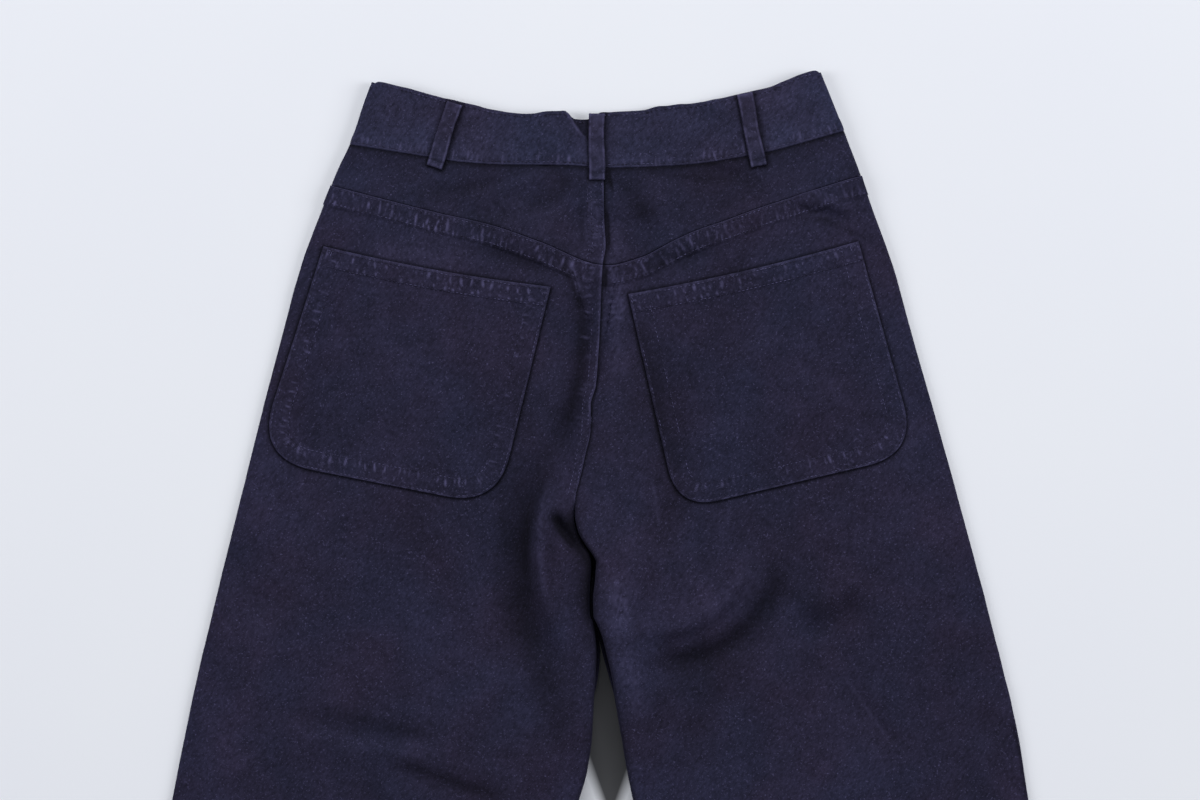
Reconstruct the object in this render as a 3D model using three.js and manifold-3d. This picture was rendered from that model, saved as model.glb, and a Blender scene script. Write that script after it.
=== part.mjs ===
// Straight-leg trousers in faded navy twill, laid flat on their front with the seat side up.
// Millimetres, +Z up, the floor at z = 0. In plan +Y runs to the waist and -X is the wearer's
// left. Plan places are measured from a point on the seat, and the whole is centred at the end.
import * as THREE from 'three';
import { mergeVertices } from 'three/addons/utils/BufferGeometryUtils.js';
import Module from 'manifold-3d';

const wasm = await Module();
wasm.setup();

// Cloth and seams
const TWILL = 1.2;
const BAND_TWILL = 2.0;
const SEAM_GAP = 0.3;
const EDGE_TURN = 2.0;
const LAYER_CLEARANCE = 0.7;

// Waistband closure
const LAP_HALF = 22;
const LAP_RAMP_END = 62;
const LAP_LIFT = 2.3;
const LAP_LOWEST_Y = 158;
const LAP_FADE = 20;
const BUTTON_RADIUS = 8.5;
const BUTTON_THICKNESS = 2.7;
const BUTTON_Y = 191;

// Belt loops
const LOOP_WIDTH = 12.8;
const LOOP_TWILL = 1.3;
const LOOP_BOW = 1.3;
const LOOP_SEAT = 0.4;

// Patch pockets
const POCKET_TWILL = 1.0;
const POCKET_HEM_TWILL = 1.7;
const POCKET_HEM_DEPTH = 15;

// Crotch: above OPEN_Y the seat is one cloth, below SHUT_Y each leg is a tube of its own.
const CROTCH_OPEN_Y = -76;
const CROTCH_SHUT_Y = -92;

// Side edges of the laid garment, waist to hem
const SIDES = [
  { y: 264, left: -179, right: 176 },
  { y: 240, left: -188, right: 185.5 },
  { y: 204, left: -200.5, right: 199.5 },
  { y: 186, left: -209, right: 206.5 },
  { y: 156, left: -221, right: 217 },
  { y: 108, left: -239, right: 234.5 },
  { y: 36, left: -259, right: 254.5 },
  { y: -36, left: -277.5, right: 275 },
  { y: -108, left: -295, right: 295 },
  { y: -216, left: -321.5, right: 323 },
  { y: -272, left: -333.5, right: 336 },
  { y: -320, left: -343, right: 343.5 },
  { y: -765, left: -432, right: 432 },
  { y: -830, left: -445, right: 445 },
];

// Inner edges of the two legs, crotch to hem
const INSIDE_LEGS = [
  { y: -60, left: -25.9, right: -24.8 },
  { y: -92, left: -25.6, right: -24.4 },
  { y: -112, left: -15.5, right: -11.2 },
  { y: -127, left: -13.2, right: -9 },
  { y: -148, left: -15.8, right: -12 },
  { y: -169, left: -12.8, right: -6.4 },
  { y: -195, left: -9.6, right: -2.5 },
  { y: -224, left: -7, right: 5.6 },
  { y: -256, left: -4.8, right: 12 },
  { y: -288, left: -8, right: 18.4 },
  { y: -320, left: -17, right: 26.5 },
  { y: -830, left: -139, right: 139 },
];

// Hems are square to each leg
const HEMS = { outerX: 432, outerY: -765, innerX: 139, innerY: -824 };

const SEAT_SEAM = [
  { y: 190, x: 3 },
  { y: 119, x: 5 },
  { y: 90, x: 2 },
  { y: 40, x: -5 },
  { y: -20, x: -13.5 },
  { y: -68, x: -24 },
  { y: -92, x: -25 },
];
const FRONT_SEAM = [
  { y: 180, x: 0 },
  { y: 20, x: 0 },
  { y: -50, x: -11 },
  { y: -92, x: -25 },
];

// Waistband edges and the V of the yoke
const BACK_WAIST = [
  { x: -181, y: 255 },
  { x: -161, y: 251 },
  { x: -142, y: 246 },
  { x: -123, y: 241 },
  { x: -104, y: 236.5 },
  { x: -75, y: 230.5 },
  { x: -56, y: 229 },
  { x: -36, y: 231 },
  { x: -26, y: 231 },
  { x: -18, y: 223 },
  { x: -9, y: 225.5 },
  { x: 2, y: 230 },
  { x: 30, y: 231.5 },
  { x: 50, y: 235.5 },
  { x: 78, y: 238 },
  { x: 107, y: 244 },
  { x: 136, y: 250.5 },
  { x: 165, y: 262 },
  { x: 176, y: 263 },
];
const BACK_BAND_SEAM = [
  { x: -200, y: 204 },
  { x: -150, y: 196 },
  { x: -115, y: 190.5 },
  { x: -80, y: 188 },
  { x: -25, y: 187.5 },
  { x: 5, y: 185.5 },
  { x: 60, y: 187.5 },
  { x: 119, y: 195 },
  { x: 196, y: 215 },
];
const YOKE_SEAM = [
  { x: -213, y: 171 },
  { x: -129, y: 149.5 },
  { x: -84, y: 139 },
  { x: -48, y: 126.5 },
  { x: 5, y: 108 },
  { x: 49, y: 121.5 },
  { x: 82, y: 134.5 },
  { x: 147, y: 157.5 },
  { x: 210, y: 178 },
];
const FRONT_WAIST = [
  { x: -181, y: 254 },
  { x: -100, y: 226 },
  { x: 0, y: 212 },
  { x: 100, y: 230 },
  { x: 176, y: 262 },
];
const FRONT_BAND_SEAM = [
  { x: -200, y: 204 },
  { x: -100, y: 182 },
  { x: 0, y: 170 },
  { x: 100, y: 187 },
  { x: 196, y: 215 },
];

// Heights of the middle of each layer's wall. The front lies on the floor and is lifted at the
// waistband by the button and the belt loops beneath it.
const LEVELS = [
  { y: 264, back: 9.8, front: 4 },
  { y: 168, back: 9, front: 4 },
  { y: 135, back: 7.5, front: 2.5 },
  { y: 100, back: 6, front: 1.1 },
  { y: 60, back: 5.3, front: 0.6 },
  { y: -90, back: 5, front: 0.6 },
  { y: -320, back: 4.6, front: 0.6 },
  { y: -830, back: 4.4, front: 0.6 },
];

// Folds of the seat side: ridges have a positive height and troughs a negative one
const FOLDS = [
  { start: [-22, 106], middle: [-16, 16], end: [-62, -80], width: 14, height: -3.2 },
  { start: [-58, -70], middle: [-68, -160], end: [-28, -245], width: 15, height: -3 },
  { start: [3, 176], middle: [-2, 60], end: [-24, -84], width: 8, height: 4.5 },
  { start: [-42, -72], middle: [-50, -125], end: [-20, -245], width: 12, height: 6 },
  { start: [-42, -74], middle: [-36, -96], end: [-24, -112], width: 5, height: -3.5 },
  { start: [22, 92], middle: [50, -30], end: [56, -150], width: 15, height: -2.8 },
  { start: [20, -110], middle: [26, -190], end: [50, -270], width: 18, height: 5 },
  { start: [36, -190], middle: [110, -200], end: [150, -130], width: 11, height: 4 },
  { start: [140, -120], middle: [170, -190], end: [226, -142], width: 10, height: 3.5 },
  { start: [44, -214], middle: [120, -226], end: [168, -160], width: 13, height: -3 },
  { start: [-236, -246], middle: [-180, -262], end: [-112, -272], width: 10, height: -3 },
  { start: [-224, -262], middle: [-170, -280], end: [-110, -290], width: 12, height: 3 },
  { start: [-180, -284], middle: [-110, -306], end: [-30, -318], width: 11, height: -3 },
  { start: [160, -232], middle: [200, -262], end: [252, -306], width: 12, height: -2.6 },
  { start: [-52, 172], middle: [-48, 140], end: [-36, 112], width: 13, height: -2.2 },
  { start: [34, 172], middle: [30, 145], end: [30, 118], width: 13, height: -2.2 },
  { start: [-44, 170], middle: [-70, 160], end: [-104, 146], width: 9, height: 2 },
  { start: [-100, 122], middle: [-66, 112], end: [-30, 96], width: 6, height: -1.8 },
  { start: [150, 150], middle: [176, 138], end: [204, 126], width: 6, height: -1.8 },
  { start: [-120, 10], middle: [-150, -14], end: [-176, -44], width: 20, height: 2.4 },
  { start: [120, 30], middle: [150, -4], end: [190, -20], width: 22, height: 2.4 },
  { start: [-300, -380], middle: [-210, -410], end: [-120, -400], width: 14, height: -2.8 },
  { start: [-80, -440], middle: [-170, -470], end: [-300, -520], width: 16, height: 3.4 },
  { start: [-330, -590], middle: [-250, -640], end: [-160, -650], width: 13, height: -2.6 },
  { start: [90, -380], middle: [190, -420], end: [300, -400], width: 15, height: 3.2 },
  { start: [360, -470], middle: [260, -520], end: [150, -500], width: 14, height: -2.8 },
  { start: [190, -620], middle: [270, -650], end: [380, -700], width: 16, height: 3 },
];

// Back loops lie on the seat side, front loops under the waistband
const BELT_LOOPS = [
  { name: 'back_left', layer: 'back', top: [-116, 237], foot: [-132.5, 186] },
  { name: 'back_centre', layer: 'back', top: [-2.5, 229], foot: [-2.5, 176] },
  { name: 'back_right', layer: 'back', top: [115.5, 245], foot: [127, 187] },
  { name: 'front_left', layer: 'front', top: [-104, 226], foot: [-110, 180] },
  { name: 'front_right', layer: 'front', top: [104, 230], foot: [110, 183] },
];

// Corners of the patch pockets, with how far from each one the rounding starts
const POCKETS = {
  left: [
    { x: -221, y: 123, round: 0 },
    { x: -39.5, y: 90.5, round: 0 },
    { x: -82, y: -85, round: 42 },
    { x: -276, y: -47, round: 48 },
  ],
  right: [
    { x: 22.5, y: 85, round: 0 },
    { x: 206.5, y: 127, round: 0 },
    { x: 254, y: -43, round: 42 },
    { x: 62, y: -88, round: 34 },
  ],
};
// How far the middle of a pocket's top edge dips below a straight line
const POCKET_DIP = 3;

// How finely the walls are divided
const TURN_ANGLES = [0, 45];
const BACK_COLUMNS = 16;
const FRONT_COLUMNS = 8;
const YOKE_ROWS = 5;
const BAND_COLUMNS = 36;
const FRONT_BAND_COLUMNS = 12;
const BAND_ROWS = 3;
const LOOP_ROWS = 9;
const BACK_ROWS = [
  { to: CROTCH_OPEN_Y, rows: 11 },
  { to: CROTCH_SHUT_Y, rows: 3 },
  { to: -320, rows: 12 },
  { to: -795, rows: 10 },
];
const FRONT_ROWS = [
  { to: 50, rows: 9 },
  { to: CROTCH_OPEN_Y, rows: 2 },
  { to: CROTCH_SHUT_Y, rows: 3 },
  { to: -320, rows: 6 },
  { to: -795, rows: 5 },
];
const FOLD_STEPS = 8;
const FOLD_FADE = 0.3;
const SLOPE_STEP = 0.5;
const EDGE_TRIES = 12;
const HEM_FOLLOW_Y = -480;
const PRISM_HEIGHT = 40;
const CORNER_SEGMENTS = 6;
const BUTTON_SEGMENTS = 20;

const { cos, sin, hypot, abs, sign, exp, log, PI } = Math;
const clamp01 = (t) => Math.min(1, Math.max(0, t));
const mix = (a, b, t) => a + (b - a) * t;
const smooth = (from, to, value) => {
  const t = clamp01((value - from) / (to - from));
  return t * t * (3 - 2 * t);
};

// Reads a table as a smooth curve without overshoot: one column against another
function curve(rows, along, column) {
  const sorted = [...rows].sort((a, b) => a[along] - b[along]);
  const at = sorted.map((row) => row[along]);
  const value = sorted.map((row) => row[column]);
  const last = at.length - 1;
  const steps = at.slice(1).map((place, i) => (value[i + 1] - value[i]) / (place - at[i]));
  const slopes = at.map((_, i) => {
    if (i === 0) return steps[0];
    if (i === last) return steps[last - 1];
    if (steps[i - 1] * steps[i] <= 0) return 0;
    return (2 * steps[i - 1] * steps[i]) / (steps[i - 1] + steps[i]);
  });
  return (place) => {
    if (place <= at[0]) return value[0] + slopes[0] * (place - at[0]);
    if (place >= at[last]) return value[last] + slopes[last] * (place - at[last]);
    const i = at.findIndex((edge) => edge > place) - 1;
    const span = at[i + 1] - at[i];
    const t = (place - at[i]) / span;
    const bend = t * t * (3 - 2 * t);
    const lead = t * (1 - t) * (1 - t) * slopes[i] - t * t * (1 - t) * slopes[i + 1];
    return mix(value[i], value[i + 1], bend) + span * lead;
  };
}

const sideEdge = { [-1]: curve(SIDES, 'y', 'left'), [1]: curve(SIDES, 'y', 'right') };
const legEdge = { [-1]: curve(INSIDE_LEGS, 'y', 'left'), [1]: curve(INSIDE_LEGS, 'y', 'right') };
const seatSeam = curve(SEAT_SEAM, 'y', 'x');
const frontSeam = curve(FRONT_SEAM, 'y', 'x');
const backWaist = curve(BACK_WAIST, 'x', 'y');
const backBandSeam = curve(BACK_BAND_SEAM, 'x', 'y');
const yokeSeam = curve(YOKE_SEAM, 'x', 'y');
const frontWaist = curve(FRONT_WAIST, 'x', 'y');
const frontBandSeam = curve(FRONT_BAND_SEAM, 'x', 'y');
const backLevel = curve(LEVELS, 'y', 'back');
const frontLevel = curve(LEVELS, 'y', 'front');
const seamLevel = (y) => (backLevel(y) + frontLevel(y)) / 2;
const legShut = (y) => smooth(CROTCH_OPEN_Y, CROTCH_SHUT_Y, y);

function hemLine(side) {
  const rise = (HEMS.outerY - HEMS.innerY) / (HEMS.outerX - HEMS.innerX);
  return (x) => HEMS.innerY + (side * x - HEMS.innerX) * rise;
}

// Points along a fold's curved path, which passes through its middle
const foldPaths = FOLDS.map(({ start, middle, end }) => {
  const pull = middle.map((m, axis) => 2 * m - (start[axis] + end[axis]) / 2);
  return Array.from({ length: FOLD_STEPS + 1 }, (_, i) => {
    const t = i / FOLD_STEPS;
    const at = (axis) => mix(mix(start[axis], pull[axis], t), mix(pull[axis], end[axis], t), t);
    return [at(0), at(1)];
  });
});

function foldHeight(x, y, { width, height }, path) {
  let nearest = Infinity;
  let along = 0;
  for (let i = 0; i < FOLD_STEPS; i += 1) {
    const [ax, ay] = path[i];
    const [bx, by] = path[i + 1];
    const [dx, dy] = [bx - ax, by - ay];
    const t = clamp01(((x - ax) * dx + (y - ay) * dy) / (dx * dx + dy * dy));
    const distance = hypot(x - ax - t * dx, y - ay - t * dy);
    if (distance < nearest) {
      nearest = distance;
      along = (i + t) / FOLD_STEPS;
    }
  }
  const fade = smooth(0, FOLD_FADE, along) * smooth(1, 1 - FOLD_FADE, along);
  return height * fade * exp(-((nearest / width) ** 2));
}

const lapLift = (x) => LAP_LIFT * smooth(LAP_RAMP_END, LAP_HALF, x);

const frontHeight = (_, y) => frontLevel(y);
const lappedHeight = (x, y) => frontLevel(y) + lapLift(x);

// The seat side's wall never comes closer to the front than LAYER_CLEARANCE
function backHeight(x, y) {
  const folds = FOLDS.reduce((sum, fold, i) => sum + foldHeight(x, y, fold, foldPaths[i]), 0);
  const lap = lapLift(x) * smooth(LAP_LOWEST_Y - LAP_FADE, LAP_LOWEST_Y, y);
  const lowest = frontLevel(y) + TWILL + LAYER_CLEARANCE + lap;
  const spare = backLevel(y) + folds - lowest;
  return lowest + LAYER_CLEARANCE * log(1 + exp(spare / LAYER_CLEARANCE));
}

const BACK = { out: 1, height: backHeight };
const FRONT = { out: -1, height: frontHeight };
const LAPPED_FRONT = { out: -1, height: lappedHeight };
const FLAT = { angle: PI / 2, outward: 0, slope: 0, shut: 1 };

// Middle of the wall and its outward normal. Near a folded edge the wall turns over a quarter
// ellipse and ends at the height where front and back are sewn together.
function clothPoint(layer, x, y, turn) {
  const level = layer.height(x, y);
  const rise = (dx, dy) => layer.height(x + dx, y + dy) - layer.height(x - dx, y - dy);
  const slopeX = rise(SLOPE_STEP, 0) / (2 * SLOPE_STEP);
  const slopeY = rise(0, SLOPE_STEP) / (2 * SLOPE_STEP);
  const reach = level - seamLevel(y) - (layer.out * SEAM_GAP) / 2;
  const z = level - reach * turn.shut * (1 - sin(turn.angle));
  const sideways = abs(reach) * turn.shut * cos(turn.angle);
  const upright = EDGE_TURN * sin(turn.angle) + (1 - turn.shut) * abs(reach);
  const normal = new THREE.Vector3(
    turn.outward * sideways - layer.out * slopeX * upright,
    -turn.outward * turn.slope * sideways - layer.out * slopeY * upright,
    layer.out * upright,
  );
  return { position: new THREE.Vector3(x, y, z), normal: normal.normalize() };
}

// Columns across a panel: a few turn over each folded edge, and the rest are evenly spread
function panelColumns(count, turnOuter, turnInner) {
  const list = [];
  if (turnOuter) TURN_ANGLES.forEach((degrees) => list.push({ share: 0, edge: 'outer', degrees }));
  for (let i = 0; i <= count; i += 1) list.push({ share: i / count, edge: 'none', degrees: 90 });
  if (turnInner) {
    [...TURN_ANGLES].reverse().forEach((degrees) => list.push({ share: 1, edge: 'inner', degrees }));
  }
  return list;
}

// Evenly spaced rows between a panel's top and bottom edges
function evenRows(count) {
  return Array.from({ length: count + 1 }, (_, i) => ({ even: i / count }));
}

// Rows of a leg panel: they follow the top edge, then run level, then follow the hem
function legRows(topLevel, sections) {
  const levels = [topLevel];
  sections.forEach(({ to, rows }) => {
    const from = levels[levels.length - 1];
    for (let i = 1; i <= rows; i += 1) levels.push(mix(from, to, i / rows));
  });
  const hemLevel = levels[levels.length - 1];
  return levels.map((level) => ({
    level,
    keepTop: smooth(CROTCH_OPEN_Y, topLevel, level),
    keepBottom: smooth(HEM_FOLLOW_Y, hemLevel, level),
    topLevel,
    hemLevel,
  }));
}

// Grid of wall points between four plan edges: outer and inner give x for a y, top and bottom
// give y for an x
function panelGrid({ layer, columns, rows, outer, inner, top, bottom, shut }) {
  const edgeSlope = (edge, y) => (edge(y + 1) - edge(y - 1)) / 2;
  const turnsOuter = columns[0].edge === 'outer';
  const turnsInner = columns[columns.length - 1].edge === 'inner';
  const placeX = (column, y) => {
    const across = sign(inner(y) - outer(y));
    const start = outer(y) + (turnsOuter ? across * EDGE_TURN : 0);
    const end = inner(y) - (turnsInner ? across * EDGE_TURN : 0);
    const overhang = EDGE_TURN * cos((column.degrees * PI) / 180);
    const towards = { outer: -across, inner: across, none: 0 }[column.edge];
    return mix(start, end, column.share) + towards * overhang;
  };
  const meet = (column, edge) => {
    let y = edge(0);
    for (let i = 0; i < EDGE_TRIES; i += 1) y = edge(placeX(column, y));
    return y;
  };
  const ends = columns.map((column) => ({ top: meet(column, top), bottom: meet(column, bottom) }));
  return rows.map((row) =>
    columns.map((column, j) => {
      const y =
        row.even === undefined
          ? row.level +
            (ends[j].top - row.topLevel) * row.keepTop +
            (ends[j].bottom - row.hemLevel) * row.keepBottom
          : mix(ends[j].top, ends[j].bottom, row.even);
      const edge = column.edge === 'inner' ? inner : outer;
      const across = sign(inner(y) - outer(y));
      const turn = {
        angle: (column.degrees * PI) / 180,
        outward: column.edge === 'inner' ? across : -across,
        slope: column.edge === 'none' ? 0 : edgeSlope(edge, y),
        shut: column.edge === 'inner' ? shut(y) : 1,
      };
      return clothPoint(layer, placeX(column, y), y, turn);
    }),
  );
}

// Closed wall between two offsets from a grid of wall points, its faces pointing out
function wall(grid, low, high) {
  const rows = grid.length;
  const columns = grid[0].length;
  const positions = [];
  [low, high].forEach((offset) =>
    grid.flat().forEach(({ position, normal }) => {
      positions.push(...position.clone().addScaledVector(normal, offset).toArray());
    }),
  );
  const id = (face, i, j) => face * rows * columns + i * columns + j;
  const triangles = [];
  const quad = (a, b, c, d) => triangles.push(a, b, c, a, c, d);
  for (let i = 0; i < rows - 1; i += 1) {
    for (let j = 0; j < columns - 1; j += 1) {
      quad(id(1, i, j), id(1, i + 1, j), id(1, i + 1, j + 1), id(1, i, j + 1));
      quad(id(0, i, j), id(0, i, j + 1), id(0, i + 1, j + 1), id(0, i + 1, j));
    }
  }
  const rim = [];
  for (let j = 0; j < columns - 1; j += 1) rim.push([0, j]);
  for (let i = 0; i < rows - 1; i += 1) rim.push([i, columns - 1]);
  for (let j = columns - 1; j > 0; j -= 1) rim.push([rows - 1, j]);
  for (let i = rows - 1; i > 0; i -= 1) rim.push([i, 0]);
  rim.forEach(([i, j], k) => {
    const [m, n] = rim[(k + 1) % rim.length];
    quad(id(0, i, j), id(1, i, j), id(1, m, n), id(0, m, n));
  });
  return facingOut(indexedGeometry(positions, triangles));
}

function indexedGeometry(positions, triangles) {
  const geometry = new THREE.BufferGeometry();
  geometry.setAttribute('position', new THREE.Float32BufferAttribute(positions, 3));
  geometry.setIndex(triangles);
  return geometry;
}

function facingOut(geometry) {
  const place = geometry.getAttribute('position');
  const index = geometry.getIndex();
  const corner = (i) => new THREE.Vector3().fromBufferAttribute(place, index.getX(i));
  let volume = 0;
  for (let i = 0; i < index.count; i += 3) {
    volume += corner(i).dot(corner(i + 1).cross(corner(i + 2)));
  }
  if (volume < 0) {
    for (let i = 0; i < index.count; i += 3) {
      const held = index.getX(i + 1);
      index.setX(i + 1, index.getX(i + 2));
      index.setX(i + 2, held);
    }
  }
  return geometry;
}

function solid(geometry) {
  const bare = geometry.clone();
  bare.deleteAttribute('normal');
  bare.deleteAttribute('uv');
  const merged = mergeVertices(bare);
  return new wasm.Manifold(
    new wasm.Mesh({
      numProp: 3,
      vertProperties: Float32Array.from(merged.getAttribute('position').array),
      triVerts: Uint32Array.from(merged.getIndex().array),
    }),
  );
}

function geometryOf(manifold) {
  const mesh = manifold.getMesh();
  return indexedGeometry([...mesh.vertProperties], [...mesh.triVerts]);
}

const towards = (from, to, distance) => from.clone().lerp(to, distance / from.distanceTo(to));

// Outline of a patch pocket: straight sides, rounded lower corners, and a top that dips. Given
// a depth, it is the outline of the turned hem along the top.
function pocketOutline(corners, depth) {
  const [topStart, topEnd] = corners;
  const points = corners.map(({ x, y }) => new THREE.Vector2(x, y));
  const shape = new THREE.Shape();
  const topMiddle = points[0].clone().add(points[1]).multiplyScalar(0.5);
  shape.moveTo(topStart.x, topStart.y);
  shape.quadraticCurveTo(topMiddle.x, topMiddle.y - 2 * POCKET_DIP, topEnd.x, topEnd.y);
  if (depth) {
    const [lowEnd, lowStart] = [towards(points[1], points[2], depth), towards(points[0], points[3], depth)];
    shape.lineTo(lowEnd.x, lowEnd.y);
    shape.quadraticCurveTo(topMiddle.x, topMiddle.y - 2 * POCKET_DIP - depth, lowStart.x, lowStart.y);
    return shape;
  }
  [2, 3].forEach((k) => {
    const before = towards(points[k], points[k - 1], corners[k].round);
    const after = towards(points[k], points[(k + 1) % points.length], corners[k].round);
    shape.lineTo(before.x, before.y);
    shape.quadraticCurveTo(points[k].x, points[k].y, after.x, after.y);
  });
  return shape;
}

function prism(shape) {
  const settings = { depth: PRISM_HEIGHT, bevelEnabled: false, curveSegments: CORNER_SEGMENTS };
  return solid(new THREE.ExtrudeGeometry(shape, settings));
}

// A pocket is cut from its leg panel's own points, moved out by the panel's wall and the seam gap
function pocketGeometry(panel, corners) {
  const under = TWILL / 2 + SEAM_GAP;
  const cloth = solid(wall(panel, under, under + POCKET_TWILL)).intersect(prism(pocketOutline(corners)));
  const hem = solid(wall(panel, under, under + POCKET_HEM_TWILL));
  return geometryOf(cloth.add(hem.intersect(prism(pocketOutline(corners, POCKET_HEM_DEPTH)))));
}

// A belt loop bows away from the waistband between its two sewn ends
function beltLoopGeometry({ layer, top, foot }) {
  const surface = layer === 'back' ? BACK : FRONT;
  const along = new THREE.Vector2(foot[0] - top[0], foot[1] - top[1]).normalize();
  const rows = [];
  for (let i = 0; i <= LOOP_ROWS; i += 1) {
    const share = i / LOOP_ROWS;
    const lift = BAND_TWILL / 2 + LOOP_SEAT + LOOP_TWILL / 2 + LOOP_BOW * sin(PI * share) ** 0.7;
    rows.push(
      [-1, 0, 1].map((side) => {
        const x = mix(top[0], foot[0], share) - (side * along.y * LOOP_WIDTH) / 2;
        const y = mix(top[1], foot[1], share) + (side * along.x * LOOP_WIDTH) / 2;
        const point = clothPoint(surface, x, y, FLAT);
        point.position.addScaledVector(point.normal, lift);
        return point;
      }),
    );
  }
  return wall(rows, -LOOP_TWILL / 2, LOOP_TWILL / 2);
}

// Shank button lying face down, with a raised rim round its face
function buttonGeometry() {
  const rim = 0.6;
  const dish = 0.4;
  const profile = [
    [0, dish],
    [BUTTON_RADIUS - 5 * rim, dish],
    [BUTTON_RADIUS - 4 * rim, 0],
    [BUTTON_RADIUS - rim, 0],
    [BUTTON_RADIUS, rim],
    [BUTTON_RADIUS, BUTTON_THICKNESS - rim],
    [BUTTON_RADIUS - rim, BUTTON_THICKNESS],
    [0, BUTTON_THICKNESS],
  ].map(([radius, z]) => new THREE.Vector2(radius, z));
  return new THREE.LatheGeometry(profile, BUTTON_SEGMENTS).rotateX(PI / 2);
}

const navy = (color, roughness = 0.95) => new THREE.MeshStandardMaterial({ color, roughness, metalness: 0 });
const LEG_CLOTH = navy(0x26243a);
const YOKE_CLOTH = navy(0x25233a);
const BAND_CLOTH = navy(0x2e2f45);
const POCKET_CLOTH = navy(0x28263d);
const LOOP_CLOTH = navy(0x2c2c44);
const BUTTON_METAL = new THREE.MeshStandardMaterial({ color: 0x3c3b40, roughness: 0.45, metalness: 0.9 });

const group = new THREE.Group();

function addPiece(name, geometry, material) {
  const mesh = new THREE.Mesh(geometry, material);
  mesh.name = name;
  group.add(mesh);
  return mesh;
}

const halfGap = SEAM_GAP / 2;
const sideOf = { left: -1, right: 1 };
const sewnAbove = (seam) => (x) => seam(x) + halfGap;
const sewnBelow = (seam) => (x) => seam(x) - halfGap;
const sideWall = (side, cloth) => (y) => sideEdge[side](y) - (side * cloth) / 2;
const centreSeam = (seam, side) => (y) => {
  const sewn = seam(y) + side * halfGap;
  const edge = legEdge[side](y) + (side * TWILL) / 2;
  return mix(sewn, edge, legShut(y));
};

function legPanel(side, layer, seam, topEdge, count, sections) {
  return panelGrid({
    layer,
    columns: panelColumns(count, true, true),
    rows: legRows(topEdge(seam(topEdge(0))), sections),
    outer: sideWall(side, TWILL),
    inner: centreSeam(seam, side),
    top: sewnBelow(topEdge),
    bottom: hemLine(side),
    shut: legShut,
  });
}

function yokePanel(side) {
  return panelGrid({
    layer: BACK,
    columns: panelColumns(BACK_COLUMNS, true, true),
    rows: evenRows(YOKE_ROWS),
    outer: sideWall(side, TWILL),
    inner: (y) => seatSeam(y) + side * halfGap,
    top: sewnBelow(backBandSeam),
    bottom: sewnAbove(yokeSeam),
    shut: () => 0,
  });
}

function frontBand(side) {
  return panelGrid({
    layer: side < 0 ? FRONT : LAPPED_FRONT,
    columns: panelColumns(FRONT_BAND_COLUMNS, true, false),
    rows: evenRows(BAND_ROWS),
    outer: sideWall(side, BAND_TWILL),
    inner: () => -side * LAP_HALF,
    top: frontWaist,
    bottom: sewnAbove(frontBandSeam),
  });
}

function backBand() {
  return panelGrid({
    layer: BACK,
    columns: panelColumns(BAND_COLUMNS, true, true),
    rows: evenRows(BAND_ROWS),
    outer: sideWall(-1, BAND_TWILL),
    inner: sideWall(1, BAND_TWILL),
    top: backWaist,
    bottom: sewnAbove(backBandSeam),
    shut: () => 1,
  });
}

Object.entries(sideOf).forEach(([name, side]) => {
  const back = legPanel(side, BACK, seatSeam, yokeSeam, BACK_COLUMNS, BACK_ROWS);
  const front = legPanel(side, FRONT, frontSeam, frontBandSeam, FRONT_COLUMNS, FRONT_ROWS);
  addPiece(`back_${name}`, wall(back, -TWILL / 2, TWILL / 2), LEG_CLOTH);
  addPiece(`front_${name}`, wall(front, -TWILL / 2, TWILL / 2), LEG_CLOTH);
  addPiece(`yoke_${name}`, wall(yokePanel(side), -TWILL / 2, TWILL / 2), YOKE_CLOTH);
  addPiece(`pocket_${name}`, pocketGeometry(back, POCKETS[name]), POCKET_CLOTH);
  const band = wall(frontBand(side), -BAND_TWILL / 2, BAND_TWILL / 2);
  addPiece(`waistband_front_${name}`, band, BAND_CLOTH);
});

addPiece('waistband_back', wall(backBand(), -BAND_TWILL / 2, BAND_TWILL / 2), BAND_CLOTH);
BELT_LOOPS.forEach((loop) => addPiece(`belt_loop_${loop.name}`, beltLoopGeometry(loop), LOOP_CLOTH));
const button = addPiece('waist_button', buttonGeometry(), BUTTON_METAL);
button.position.set(0, BUTTON_Y, 0);

// The origin is the middle of the whole garment, on the floor
const extent = new THREE.Box3().setFromObject(group);
const middle = extent.getCenter(new THREE.Vector3());
group.position.set(-middle.x, -middle.y, -extent.min.z);

export default group;
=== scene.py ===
# Straight-leg trousers in faded navy twill, laid flat on their front with the seat side up.
# Tables are in millimetres, in the garment's plan: +Y to the waist, -X the wearer's left.
# Meshes are written in metres, in the frame's own place.
import math

import bpy
import numpy as np
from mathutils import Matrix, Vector
from mathutils.bvhtree import BVHTree


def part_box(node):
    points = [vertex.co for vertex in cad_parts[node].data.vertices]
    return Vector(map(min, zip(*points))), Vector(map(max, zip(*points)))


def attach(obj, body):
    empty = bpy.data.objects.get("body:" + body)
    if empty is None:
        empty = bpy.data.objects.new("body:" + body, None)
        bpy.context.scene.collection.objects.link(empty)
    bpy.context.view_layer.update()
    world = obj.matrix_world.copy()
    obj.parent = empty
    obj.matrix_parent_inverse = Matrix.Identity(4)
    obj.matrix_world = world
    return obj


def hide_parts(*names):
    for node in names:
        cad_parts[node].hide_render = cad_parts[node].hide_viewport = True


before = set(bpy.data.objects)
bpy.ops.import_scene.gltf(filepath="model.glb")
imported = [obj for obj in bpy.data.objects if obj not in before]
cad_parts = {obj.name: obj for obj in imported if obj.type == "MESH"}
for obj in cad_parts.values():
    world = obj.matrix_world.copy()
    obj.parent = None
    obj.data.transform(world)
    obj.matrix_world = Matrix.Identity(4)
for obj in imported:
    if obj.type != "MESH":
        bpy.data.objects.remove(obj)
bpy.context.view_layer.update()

MM = 0.001

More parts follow.
